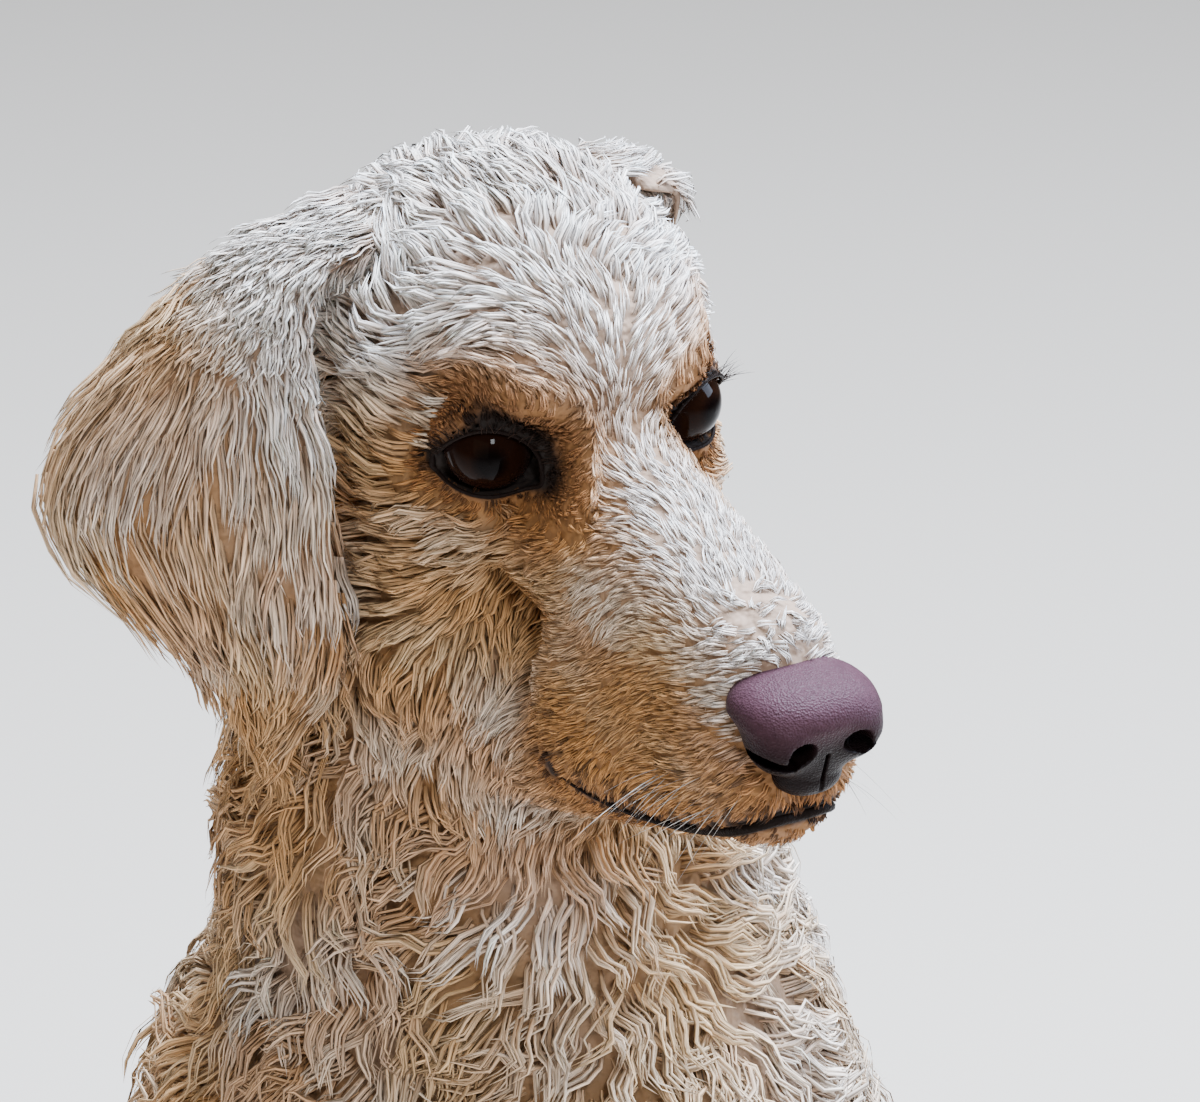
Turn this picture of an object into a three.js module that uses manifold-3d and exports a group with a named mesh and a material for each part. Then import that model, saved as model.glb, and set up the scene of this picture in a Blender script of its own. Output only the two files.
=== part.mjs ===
// A sitting standard poodle at life size, in millimetres: +Z is up, the dog faces -Y, its left side is +X.
// Soft forms are blended swept ellipsoids. Each node is wrapped round a spine through them, out to the coat.
// Neck, trunk, legs and tail carry the curls as rounded clumps, which are part of the same closed surface.
import * as THREE from "three";
import { mergeVertices } from "three/addons/utils/BufferGeometryUtils.js";
import Module from "manifold-3d";

const wasm = await Module();
wasm.setup();
const { Manifold, Mesh } = wasm;

// Driving sizes of an adult about 60 cm at the withers
const EYE_LEVEL = 735; // height of the point midway between the eyes
const GAP = 0.3; // clearance kept between nodes that meet
const WELD = 0.02; // points of a finished node nearer than this are made one
const SOCKET_SHARE = 1.4; // a socket of a clumped form is swollen by this much of the gap, as its faces slope
const COAT = { torso: 18, neck: 14, leg: 15, thigh: 18, paw: 6, tail: 16, skull: 10, muzzle: 3 };

// Head: placed by its point midway between the eyes, in its own axes f (forward), l (left), u (up)
const HEAD_AT = [0, -125, EYE_LEVEL];
const HEAD_YAW = 15;
const HEAD_PITCH = 6;
const HEAD_ROLL = 3.3;
const EYE = { f: -11, l: 26.3, u: -2.4, radius: 11.3, outward: 26, lid: 2, tilt: -4, dent: 4 };
const ROUND_EYE = [12, 30]; // the face is dented and its coat short up to the first distance from an eye
const LIDS = { halfWidth: 13.2, above: 14.3, below: 4, cornerAt: -6 }; // the opening, from its two corners
const MUZZLE_END = 84;
const NOSTRIL = { at: [111, 7.5, -36], hole: [8, 4.2, 3.6] };
const SLIT = { at: [105, 13.5, -38.5], size: [7, 6, 1.7], turn: 20 }; // the tail of the nostril's comma
const MOUTH = { cornerF: 15, cornerU: -77, frontF: 98, frontU: -59, sag: 38, groove: 1.7 };
const MOUTH_SWING = { centreF: 55, degrees: 128 }; // its points are found by turning about an upright line

// A form is an ellipsoid swept from one point to another while its radii change
const form = (from, to, radii, endRadii = radii) => ({ from, to, radii, endRadii });
const ball = (at, radii) => form(at, at, radii);

const HEAD_FORMS = [
  ball([-50, 0, 6], [58, 44, 43]), // cranium
  ball([-92, 0, -6], [22, 26, 26]), // occiput
  ball([-22, 0, 20], [30, 28, 22]), // forehead
  ball([-32, 30, -16], [32, 13, 20]), // cheekbone
  ball([-6, 20, 13], [14, 12, 9]), // brow
  form([2, 0, -24], [MUZZLE_END, 0, -38], [24, 25, 24], [12, 17, 15]), // muzzle
  form([0, 0, -6], [MUZZLE_END - 4, 0, -22], [14, 12, 12], [10, 13, 9]), // bridge
  form([20, 13, -60], [MUZZLE_END, 8, -51], [18, 13, 20], [14, 10, 11]), // upper lip
  form([4, 0, -83], [MUZZLE_END - 2, 0, -64], [24, 26, 18], [12, 13, 9]), // lower jaw
  ball([-44, 28, -38], [26, 14, 28]), // jaw muscle
  ball([-62, 0, -50], [36, 36, 30]), // throat
];
const HEAD_SPINE = [[-64, 0, -20], [MUZZLE_END - 10, 0, -48]];
// The nose is a rounded box that narrows to its foot
const NOSE = {
  top: [97, 0, -31],
  topRadii: [15, 18, 9],
  foot: [97, 0, -46],
  footRadii: [10, 9, 7],
  power: 2.4, // 2 would be an ellipsoid, more is boxier
};
const NOSE_SPINE = [[94, 0, -36], [102, 0, -36]];

// Ear flaps in head axes: the front edge hangs almost straight, the back edge stands away from the head
const EAR_FRONT = [[-52, 40, 36], [-50, 54, 30], [-46, 60, 17], [-40, 61, 0], [-30, 60, -34], [-31, 61, -68],
  [-48, 66, -96]];
const EAR_BACK = [[-84, 36, 34], [-80, 54, 32], [-80, 72, 25], [-81, 88, 11], [-84, 113, -28], [-71, 84, -72],
  [-51, 68, -97]];
const EAR = { thick: 11, bulge: 7 };
// The left flap has swung back with the turn of the head: degrees turned in, then millimetres back and inward
const EAR_POSE = { left: { turnIn: 30, back: 22, inward: 8 }, right: { turnIn: 0, back: 0, inward: 0 } };

const NECK_FORMS = [
  form([-14, -52, 668], [-8, -42, 600], [48, 56, 50], [57, 62, 60]),
  form([-8, -42, 600], [0, -32, 535], [57, 62, 60], [66, 76, 70]),
];
const TORSO_FORMS = [
  form([0, -35, 510], [0, -12, 405], [72, 80, 70], [86, 104, 104]), // chest
  form([0, -12, 405], [0, 68, 300], [86, 104, 104], [88, 98, 98]), // ribs
  form([0, 68, 300], [0, 145, 200], [88, 98, 98], [84, 88, 88]), // loin
  form([0, 145, 200], [0, 212, 98], [84, 88, 88], [80, 82, 84]), // pelvis
  form([52, 0, 500], [66, -88, 430], [30, 38, 40], [38, 42, 44]), // shoulder blade
  form([66, -88, 430], [72, -25, 330], [38, 42, 44], [34, 40, 40]), // upper arm
];
const TRUNK_SPINE = [[-14, -48, 668], [-8, -42, 600], [0, -34, 520], [0, -12, 405], [0, 68, 300],
  [0, 145, 200], [0, 208, 104]];

const FORELEG_FORMS = [
  form([72, -30, 325], [71, -52, 170], [32, 36, 34], [23, 25, 25]),
  form([71, -52, 170], [71, -66, 70], [23, 25, 25], [22, 23, 23]),
  form([71, -66, 70], [71, -84, 30], [22, 23, 23], [17, 16, 13]),
];
const THIGH_FORMS = [form([62, 174, 122], [98, 76, 172], [52, 88, 88], [38, 52, 54])];
const SHANK_FORMS = [form([104, 66, 160], [114, 192, 56], [36, 42, 42], [23, 26, 26])];
const HOCK_FORMS = [form([116, 196, 40], [121, 84, 25], [20, 22, 22], [16, 17, 12])];
const TAIL_PATH = [[0, 280, 62], [4, 330, 38], [24, 385, 27], [64, 430, 27], [108, 452, 27]];
const TAIL_RADII = [20, 12, 11, 13, 12];

// Paws: a pad and four toes each, the middle two reaching further
const PAW = { pad: [26, 24, 17], toe: [9, 15, 12], spread: 14, reach: 26, middleReach: 8, toeDrop: 5 };
const FOREPAW_AT = [71, -90, 21];
const HINDPAW_AT = [123, 66, 20];
const FOREPAW_START = [71, -76, 54];
const HINDPAW_START = [121, 104, 24];
const CLAW = { length: 12, radius: 3.2, drop: 34, sunk: 5 };

// The curly coat: a dense core that shows between rounded clumps set close, in rows staggered round a spine
const CORE = 0.45; // share of the coat's depth that the core fills
const CLUMP = { lowest: 0.85, highest: 1.15, shoulder: 0.78, stray: 0.22, sag: 4 };
const CURLS = {
  trunk: { seed: 3, rings: 42, sides: 36, domes: 4, lie: [0, 0.4, -1] },
  foreleg: { seed: 7, rings: 18, sides: 18, domes: 2, lie: [0, 0, -1] },
  thigh: { seed: 11, rings: 6, sides: 24, domes: 4, lie: [0, 0.3, -1] },
  shank: { seed: 13, rings: 10, sides: 18, domes: 3, lie: [0.2, 0.8, -0.6] },
  hock: { seed: 17, rings: 7, sides: 12, domes: 2, lie: [0, -1, 0] },
  tail: { seed: 19, rings: 14, sides: 12, domes: 2, lie: [0.3, 1, 0] },
};
const BELLY = { halfWidth: 75, back: 165, height: 240 };
// Tapered tufts that stand out of the back edge of each ear, one to every other row of its points
const TUFT = { from: 0.3, length: 11, least: 0.6, droop: 7 };

// Planes that part the whole: a point on each, and the way it faces for the part below or behind it
const THROAT_CUT = { at: [-67, 0, -52], normal: [-0.675, 0, -0.737] };
const NECK_CUT = { at: [0, -35, 535], normal: [0, 0.3, -0.954] };
const TAIL_CUT = { at: [0, 298, 0], normal: [0, 1, 0] };
const HIP = { at: [26, 0, 0], normal: [1, 0, 0] };
const PASTERN = { at: [0, 0, 48], normal: [0, 0, -1] };
const INSTEP = { at: [0, 92, 0], normal: [0, -1, 0] };

const { degToRad, clamp, smoothstep } = THREE.MathUtils;
const vector = (p) => new THREE.Vector3(...p);
const opposite = (v) => v.map((x) => -x);

// Head axes: facing -Y and level, then rolled, pitched down and turned to its left
const turn = (axis, angle) => new THREE.Matrix4().makeRotationAxis(vector(axis), degToRad(angle));
const levelHead = new THREE.Matrix4().makeBasis(vector([0, -1, 0]), vector([1, 0, 0]), vector([0, 0, 1]));
const headFrame = new THREE.Matrix4()
  .makeTranslation(...HEAD_AT)
  .multiply(turn([0, 0, 1], HEAD_YAW))
  .multiply(turn([1, 0, 0], HEAD_PITCH))
  .multiply(turn([0, -1, 0], HEAD_ROLL))
  .multiply(levelHead);
const headInverse = headFrame.clone().invert();
const fromHead = (p) => vector(p).applyMatrix4(headFrame).toArray();
const toHead = (p) => vector(p).applyMatrix4(headInverse).toArray();
const directionFromHead = (p) => vector(p).transformDirection(headFrame).toArray();

// Distance, roughly, from a point to the skin of one form
function formDistance(p, { from, to, radii, endRadii }) {
  const along = to.map((v, i) => v - from[i]);
  const length2 = along.reduce((sum, v) => sum + v * v, 0);
  const dot = along.reduce((sum, v, i) => sum + v * (p[i] - from[i]), 0);
  const t = length2 > 0 ? clamp(dot / length2, 0, 1) : 0;
  let k0 = 0;
  let k1 = 0;
  for (let i = 0; i < 3; i++) {
    const r = radii[i] + t * (endRadii[i] - radii[i]);
    const offset = p[i] - from[i] - t * along[i];
    k0 += (offset / r) ** 2;
    k1 += (offset / (r * r)) ** 2;
  }
  return (Math.sqrt(k0) * (Math.sqrt(k0) - 1)) / (Math.sqrt(k1) + 1e-9);
}

function smoothMin(a, b, k) {
  const h = clamp(0.5 + (0.5 * (b - a)) / k, 0, 1);
  return b + (a - b) * h - k * h * (1 - h);
}

// The blend of some forms. Paired ones are given once, for the side where the mirror coordinate is positive.
function fieldOf(forms, blend, mirrorAxis = -1) {
  return (p) => {
    const q = p.slice();
    if (mirrorAxis >= 0) q[mirrorAxis] = Math.abs(q[mirrorAxis]);
    return forms.map((f) => formDistance(q, f)).reduce((a, b) => smoothMin(a, b, blend));
  };
}

// Fields of distance to the outside of the coat
const HEAD_BLEND = 12;
const NECK_BLEND = 24;
const HEAD_NECK_BLEND = 14;
const bareHead = fieldOf(HEAD_FORMS, HEAD_BLEND, 1);
const bareNeck = fieldOf(NECK_FORMS, 20);
const bareTorso = fieldOf(TORSO_FORMS, 26, 0);
function noseField(p) {
  const t = clamp((NOSE.top[2] - p[2]) / (NOSE.top[2] - NOSE.foot[2]), 0, 1);
  const radii = NOSE.topRadii.map((r, i) => r + t * (NOSE.footRadii[i] - r));
  const share = radii.map((r, i) => Math.abs(p[i] - NOSE.top[i] - t * (NOSE.foot[i] - NOSE.top[i])) / r);
  const size = share.reduce((sum, v) => sum + v ** NOSE.power, 0) ** (1 / NOSE.power);
  return (size - 1) * Math.min(...radii);
}
function headField(p) {
  const q = toHead(p);
  const fromEye = Math.hypot(q[0] - EYE.f, Math.abs(q[1]) - EYE.l, q[2] - EYE.u);
  const near = 1 - smoothstep(fromEye, ...ROUND_EYE);
  const shorn = Math.max(smoothstep(q[0], -30, 12), near);
  return bareHead(q) + EYE.dent * near - COAT.skull + (COAT.skull - COAT.muzzle) * shorn;
}
const wholeField = (share) => (p) => {
  const body = smoothMin(bareNeck(p) - share * COAT.neck, bareTorso(p) - share * COAT.torso, NECK_BLEND);
  return smoothMin(body, headField(p), HEAD_NECK_BLEND);
};
const coatField = (forms, blend, coat) => {
  const field = fieldOf(forms, blend);
  return (p) => field(p) - coat;
};

// A field that ends a little beyond a plane
const CUT_MARGIN = 26;
function endedBy(field, { at, normal }, direction) {
  const n = vector(normal).normalize().multiplyScalar(direction);
  const level = n.dot(vector(at)) + CUT_MARGIN;
  return (p) => Math.max(field(p), n.dot(vector(p)) - level);
}

// Walks out from a point inside to where the field reaches a level
function surfaceAlong(field, origin, direction, level = 0) {
  const step = 3;
  const limit = 260;
  const at = (r) => origin.map((v, i) => v + r * direction[i]);
  let high = 0;
  while (high < limit && field(at(high)) < level) high += step;
  let low = Math.max(0, high - step);
  for (let i = 0; i < 12; i++) {
    const middle = (low + high) / 2;
    if (field(at(middle)) < level) low = middle;
    else high = middle;
  }
  return at((low + high) / 2);
}

// Finds surface points round a spine: along runs from 0 to 1 on it, and to -1 and 2 over its two ends
function casterOf(field, spine, { grow = 0, sideways = [1, 0, 0] } = {}) {
  const curve = new THREE.CatmullRomCurve3(spine.map(vector));
  return (along, around, level = grow) => {
    const t = clamp(along, 0, 1);
    const tilt = (along - t) * (Math.PI / 2);
    const ahead = curve.getTangent(t);
    const over = new THREE.Vector3().crossVectors(ahead, vector(sideways)).normalize();
    const across = new THREE.Vector3().crossVectors(over, ahead);
    const direction = across.multiplyScalar(Math.cos(around)).addScaledVector(over, Math.sin(around));
    direction.multiplyScalar(Math.cos(tilt)).addScaledVector(ahead, Math.sin(tilt));
    return surfaceAlong(field, curve.getPoint(t).toArray(), direction.toArray(), level);
  };
}

// A closed mesh from rings of points, with a single point at each end. Staggered rings lie half a side apart.
function closeRings(rings, first, last, isStaggered = false) {
  const sides = rings[0].length;
  const points = [first, ...rings.flat(), last];
  const index = [];
  const at = (ring, side) => 1 + ring * sides + (side % sides);
  for (let side = 0; side < sides; side++) {
    index.push(0, at(0, side + 1), at(0, side));
    for (let ring = 0; ring + 1 < rings.length; ring++) {
      const [a, b] = [at(ring, side), at(ring, side + 1)];
      const [c, d] = [at(ring + 1, side), at(ring + 1, side + 1)];
      if (isStaggered && ring % 2 === 0) index.push(a, b, c, b, d, c);
      else index.push(a, b, d, a, d, c);
    }
    index.push(points.length - 1, at(rings.length - 1, side), at(rings.length - 1, side + 1));
  }
  const geometry = new THREE.BufferGeometry();
  geometry.setAttribute("position", new THREE.Float32BufferAttribute(points.flat(), 3));
  geometry.setIndex(index);
  return geometry;
}

function stationsOf(ringCount, domeRings) {
  const stations = [];
  for (let i = domeRings; i > 0; i--) stations.push(-i / (domeRings + 1));
  for (let i = 0; i <= ringCount; i++) stations.push(i / ringCount);
  for (let i = 1; i <= domeRings; i++) stations.push(1 + i / (domeRings + 1));
  return stations;
}

// Wraps a field round a spine: rings across it, and domes of rings over its two ends
function wrap(field, spine, ringCount, sideCount, options = {}) {
  const { domeRings = 3 } = options;
  const cast = casterOf(field, spine, options);
  const stations = stationsOf(ringCount, domeRings);
  const ring = (along) =>
    Array.from({ length: sideCount }, (_, side) => cast(along, (side / sideCount) * 2 * Math.PI));
  return solidOf(closeRings(stations.map(ring), cast(-1, 0), cast(2, 0)));
}

// A three.js geometry as a solid, moved by a matrix if one is given, with points that almost meet made one
function solidOf(geometry, matrix, weld = 1e-3) {
  const bare = new THREE.BufferGeometry();
  bare.setAttribute("position", geometry.getAttribute("position").clone());
  bare.setIndex(geometry.index);
  if (matrix) bare.applyMatrix4(matrix);
  const merged = mergeVertices(bare, weld);
  const corners = merged.index.array;
  const kept = [];
  for (let i = 0; i < corners.length; i += 3) {
    const [a, b, c] = corners.subarray(i, i + 3);
    if (a !== b && b !== c && c !== a) kept.push(a, b, c);
  }
  const vertProperties = merged.attributes.position.array;
  return new Manifold(new Mesh({ numProp: 3, vertProperties, triVerts: new Uint32Array(kept) }));
}

function geometryOf(solid) {
  const { numProp, vertProperties, triVerts } = solid.getMesh();
  const count = vertProperties.length / numProp;
  const positions = new Float32Array(count * 3);
  for (let i = 0; i < count; i++) positions.set(vertProperties.subarray(i * numProp, i * numProp + 3), i * 3);
  const geometry = new THREE.BufferGeometry();
  geometry.setAttribute("position", new THREE.BufferAttribute(positions, 3));
  geometry.setIndex(new THREE.BufferAttribute(triVerts, 1));
  geometry.computeVertexNormals();
  return geometry;
}

const join = (solids) => solids.reduce((a, b) => a.add(b));
const cutAway = (solid, ...tools) => tools.reduce((a, b) => a.subtract(b), solid);
const largest = (solid) => solid.decompose().sort((a, b) => b.volume() - a.volume())[0];
const mirrored = (solid) => solid.mirror([1, 0, 0]);

// The part of a solid on the far side of a plane, or on its near side
function beyond(solid, { at, normal }, gap = GAP / 2) {
  const n = vector(normal).normalize();
  return solid.trimByPlane(n.toArray(), n.dot(vector(at)) + gap);
}
const before = (solid, { at, normal }) => beyond(solid, { at, normal: opposite(normal) });
const aboveFloor = (solid) => beyond(solid, { at: [0, 0, 0], normal: [0, 0, 1] }, 0);

function ellipsoid(radii, matrix, across = 12, down = 8) {
  const geometry = new THREE.SphereGeometry(1, across, down).scale(...radii);
  return solidOf(geometry, matrix);
}

// Head, with its lids, the sockets of its eyes, the line of its mouth and the seat of its nose
const inHead = (matrix) => headFrame.clone().multiply(matrix);
const LEFTWARD = directionFromHead([0, 1, 0]);
const throatCut = { at: fromHead(THROAT_CUT.at), normal: directionFromHead(THROAT_CUT.normal) };

function makeNose(grow) {
  const nose = wrap(noseField, NOSE_SPINE, 2, 14, { grow, sideways: [0, 1, 0], domeRings: 3 });
  return nose.transform(headFrame.toArray());
}

function eyeMatrix(side) {
  const outward = degToRad(EYE.outward) * side;
  const ahead = vector([Math.cos(outward), Math.sin(outward), 0]);
  const across = vector([-Math.sin(outward), Math.cos(outward), 0]);
  const matrix = new THREE.Matrix4().makeBasis(across, vector([0, 0, 1]), ahead);
  return inHead(matrix.setPosition(EYE.f, EYE.l * side, EYE.u).multiply(turn([0, 0, 1], -EYE.tilt * side)));
}
const eyeball = (side, grow) => ellipsoid(Array(3).fill(EYE.radius + grow), eyeMatrix(side), 14, 8);

// The opening of the lids, between a high arc and a low one that meet in its corners, run forward
function eyeOpening(side) {
  const { halfWidth, above, below, cornerAt } = LIDS;
  const steps = 7;
  const arc = (rise, way) => Array.from({ length: steps }, (_, i) => {
    const around = (i / steps) * Math.PI;
    return new THREE.Vector2(-way * halfWidth * Math.cos(around), cornerAt + rise * Math.sin(around));
  });
  const opening = new THREE.Shape([...arc(above, 1), ...arc(-below, -1)]);
  const prism = new THREE.ExtrudeGeometry(opening, { depth: 3 * EYE.radius, bevelEnabled: false });
  return solidOf(prism, eyeMatrix(side));
}

// The mouth line runs from corner to corner round the front of the muzzle, and sags between front and corner
function mouthHeight(f) {
  const t = clamp((f - MOUTH.cornerF) / (MOUTH.frontF - MOUTH.cornerF), 0, 1);
  return MOUTH.cornerU + (MOUTH.frontU - MOUTH.cornerU) * t - MOUTH.sag * t * (1 - t);
}

function makeMouth() {
  const points = [];
  const steps = 14;
  for (let i = 0; i <= steps; i++) {
    const around = degToRad(MOUTH_SWING.degrees * ((2 * i) / steps - 1));
    const direction = directionFromHead([Math.cos(around), 0.55 * Math.sin(around), 0]);
    let point = [MOUTH.frontF, 0, 0];
    for (let pass = 0; pass < 3; pass++) {
      const origin = fromHead([MOUTH_SWING.centreF, 0, mouthHeight(point[0])]);
      point = toHead(surfaceAlong(headField, origin, direction));
    }
    points.push(vector(fromHead(point)));
  }
  const section = new THREE.Shape().absellipse(0, 0, MOUTH.groove, MOUTH.groove, 0, 2 * Math.PI);
  const extrudePath = new THREE.CatmullRomCurve3(points);
  return solidOf(new THREE.ExtrudeGeometry(section, { extrudePath, steps: 2 * steps, curveSegments: 3 }));
}

// The tops of the clumps on the neck and chest, smoothed over, where the ears lie on them
const OVER_CLUMPS = 2;
function makeTrunkSleeve() {
  return wrap(endedBy(wholeField(1), throatCut, -1), TRUNK_SPINE, 14, 14, { grow: OVER_CLUMPS });
}

function makeBareHead(grow = 0) {
  const field = endedBy(wholeField(1), throatCut, 1);
  return wrap(field, HEAD_SPINE.map(fromHead), 17, 22, { grow, sideways: LEFTWARD, domeRings: 4 });
}

function makeHead() {
  let head = before(makeBareHead(), throatCut);
  for (const side of [1, -1]) {
    const lid = ellipsoid(Array(3).fill(EYE.radius + EYE.lid), eyeMatrix(side), 14, 8);
    head = cutAway(head.add(lid), eyeOpening(side), eyeball(side, GAP));
  }
  return cutAway(head, makeNose(GAP), makeMouth());
}

// Two comma-shaped nostrils, each a round opening that trails into a slit at the side
function makeNostrils() {
  const cuts = [];
  for (const side of [1, -1]) {
    const place = ([f, l, u]) => new THREE.Matrix4().makeTranslation(f, l * side, u);
    const slit = place(SLIT.at).multiply(turn([1, 0, 0], SLIT.turn * side));
    cuts.push(ellipsoid(NOSTRIL.hole, inHead(place(NOSTRIL.at)), 8, 6));
    cuts.push(ellipsoid(SLIT.size, inHead(slit), 8, 6));
  }
  return join(cuts);
}

// Ear flap: s runs from root to tip, t from the front edge to the back edge
function earPoint(front, back, s, t, pose) {
  const edge = front.getPoint(clamp(s, 0, 1));
  const width = back.getPoint(clamp(s, 0, 1)).sub(edge);
  width.applyAxisAngle(vector([0, 0, 1]), degToRad(pose.turnIn) * smoothstep(s, 0, 0.3));
  edge.add(vector([-pose.back, -pose.inward, 0]).multiplyScalar(smoothstep(s, 0, 0.5)));
  const outward = new THREE.Vector3(-width.y, width.x, 0).normalize().negate();
  const bulge = EAR.bulge * 4 * t * (1 - t) * Math.sin(Math.PI * clamp(s + 0.1, 0, 1));
  return edge.addScaledVector(width, t).addScaledVector(outward, bulge);
}

const middle = (ring) => ring.reduce((sum, p) => sum.map((v, k) => v + p[k] / ring.length), [0, 0, 0]);

function makeEar(side) {
  const pose = side > 0 ? EAR_POSE.left : EAR_POSE.right;
  const front = new THREE.CatmullRomCurve3(EAR_FRONT.map(vector));
  const back = new THREE.CatmullRomCurve3(EAR_BACK.map(vector));
  const rows = 14;
  const columns = 5;
  const near = 0.01;
  const at = (s, t) => earPoint(front, back, s, t, pose);
  THREE.MathUtils.seededRandom(23);
  const rings = [];
  for (let i = 0; i <= rows; i++) {
    const s = i / rows;
    const outer = [];
    const inner = [];
    const isTufted = i % 2 === 1 && s > TUFT.from;
    const reach = isTufted ? TUFT.least + (1 - TUFT.least) * THREE.MathUtils.seededRandom() : 0;
    for (let j = 0; j <= columns; j++) {
      const t = j / columns;
      const down = at(s + near, t).sub(at(s - near, t));
      const over = at(s, t + near).sub(at(s, t - near));
      const normal = new THREE.Vector3().crossVectors(over, down).normalize();
      const thinning = Math.max(Math.abs(2 * t - 1) ** 3, s ** 6);
      const tufted = j === columns ? reach : 0;
      const half = (EAR.thick / 2) * (1 - 0.55 * thinning) * (1 - 0.5 * tufted);
      const tip = over.normalize().multiplyScalar(tufted * TUFT.length);
      tip.z -= tufted * TUFT.droop;
      outer.push(at(s, t).add(tip).addScaledVector(normal, half).toArray());
      inner.unshift(at(s, t).add(tip).addScaledVector(normal, -half).toArray());
    }
    rings.push([...outer, ...inner]);
  }
  const ear = solidOf(closeRings(rings, middle(rings[0]), middle(rings[rows])));
  return (side > 0 ? ear : ear.mirror([0, 1, 0])).transform(headFrame.toArray());
}

// Height of a point of the staggered rings on its clump: 1 at the top, a shoulder of six points, then 0.
// Each clump takes twelve points, so the number of sides is a multiple of six.
function heightOnClump(row, side) {
  const [across, down] = [side - Math.floor(row / 2), row];
  const isTop = (a, b) => a % 2 === 0 && b % 2 === 0 && (b - a) % 6 === 0;
  const neighbours = [[1, 0], [-1, 0], [0, 1], [0, -1], [1, -1], [-1, 1]];
  if (isTop(across, down)) return 1;
  return neighbours.some(([a, b]) => isTop(across + a, down + b)) ? CLUMP.shoulder : 0;
}

// Moves each point of a closed mesh out along its normal
function swollen(geometry, by) {
  geometry.computeVertexNormals();
  const [place, normal] = [geometry.getAttribute("position"), geometry.getAttribute("normal")];
  for (let i = 0; i < place.count; i++) {
    place.setXYZ(i, place.getX(i) + by * normal.getX(i), place.getY(i) + by * normal.getY(i),
      place.getZ(i) + by * normal.getZ(i));
  }
  return geometry;
}

// A curly form: its points are drawn to their own places and heights, and the tops sag along the hair.
// Over its two ends, where the points draw together, the clumps grow lower.
// The same draw serves for the solid and for the sockets that it leaves in others.
function curly(core, spine, { seed, rings, sides, domes, lie }, coatAt, isFree) {
  const cast = casterOf(core, spine);
  THREE.MathUtils.seededRandom(seed);
  const draw = (low, high) => low + (high - low) * THREE.MathUtils.seededRandom();
  const pointAt = (along, row, side) => {
    const gap = along > 0 && along < 1 ? 1 / rings : 1 / (domes + 1);
    const [strayAlong, strayAround] = [draw(-CLUMP.stray, CLUMP.stray), draw(-CLUMP.stray, CLUMP.stray)];
    const share = (1 - CORE) * draw(CLUMP.lowest, CLUMP.highest);
    const aroundAt = (stray) => ((side + (row % 2) / 2 + stray) / sides) * 2 * Math.PI;
    const bare = cast(along, aroundAt(0));
    if (!isFree(bare)) return bare;
    const overEnd = along - clamp(along, 0, 1);
    const height = heightOnClump(row, side) * Math.cos((overEnd * Math.PI) / 2) ** 2;
    const level = height * share * coatAt(bare);
    const top = vector(cast(along + gap * strayAlong, aroundAt(strayAround), level));
    return top.addScaledVector(vector(lie).normalize(), height * CLUMP.sag).toArray();
  };
  const ringAt = (along, row) => Array.from({ length: sides }, (_, side) => pointAt(along, row, side));
  const loops = stationsOf(rings, domes).map(ringAt);
  const [first, last] = [cast(-1, 0), cast(2, 0)];
  return (grow = 0) => solidOf(swollen(closeRings(loops, first, last, true), SOCKET_SHARE * grow));
}

// Trunk and limbs, each wrapped round its own spine
const spineOf = (forms) => [forms[0].from, ...forms.map((f) => f.to)];
const limbField = (forms, coat) => coatField(forms, 12, coat);
const curlyLimb = (forms, curls, coat, isFree) =>
  curly(limbField(forms, CORE * coat), spineOf(forms), curls, () => coat, isFree);
const TAIL_FORMS = TAIL_PATH.slice(1).map((to, i) => {
  const [start, end] = [TAIL_RADII[i], TAIL_RADII[i + 1]];
  return form(TAIL_PATH[i], to, [start, start, start], [end, end, end]);
});
const trunkField = endedBy(wholeField(CORE), throatCut, -1);
const thighField = limbField(THIGH_FORMS, CORE * COAT.thigh);
const shankField = limbField(SHANK_FORMS, CORE * COAT.leg);
const forelegField = limbField(FORELEG_FORMS, CORE * COAT.leg);
const outside = (...fields) => (p) => fields.every((field) => field(p) > 0);
const isBeyond = (p, { at, normal }) => vector(p).sub(vector(at)).dot(vector(normal)) > 0;

const makeForeleg = curlyLimb(FORELEG_FORMS, CURLS.foreleg, COAT.leg, outside(trunkField));
const makeThigh = curlyLimb(THIGH_FORMS, CURLS.thigh, COAT.thigh, outside(trunkField));
const makeShank = curlyLimb(SHANK_FORMS, CURLS.shank, COAT.leg, outside(trunkField, thighField));
const makeHock = curlyLimb(HOCK_FORMS, CURLS.hock, COAT.leg, outside(trunkField, thighField, shankField));
const makeTail = curlyLimb(TAIL_FORMS, CURLS.tail, COAT.tail, outside(trunkField));

// The trunk stays smooth where the limbs and the head lie on it, and on the thinly haired belly
const paired = (field) => (p) => field([Math.abs(p[0]), p[1], p[2]]);
const isOnBelly = ([x, y, z]) => Math.abs(x) < BELLY.halfWidth && y < BELLY.back && z < BELLY.height;
const clearOfLimbs = outside(paired(thighField), paired(forelegField));
const makeTrunk = curly(trunkField, TRUNK_SPINE, CURLS.trunk,
  (p) => (isBeyond(p, NECK_CUT) ? COAT.torso : COAT.neck),
  (p) => clearOfLimbs(p) && isBeyond(p, throatCut) && !isOnBelly(p));

// Paws, with a claw at the end of each toe
function toesOf(at) {
  return [-1.5, -0.5, 0.5, 1.5].map((place) => {
    const reach = PAW.reach + (Math.abs(place) < 1 ? PAW.middleReach : 0);
    const x = at[0] + place * PAW.spread;
    return form([x * 0.6 + at[0] * 0.4, at[1], at[2]], [x, at[1] - reach, at[2] - PAW.toeDrop], PAW.toe);
  });
}

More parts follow.
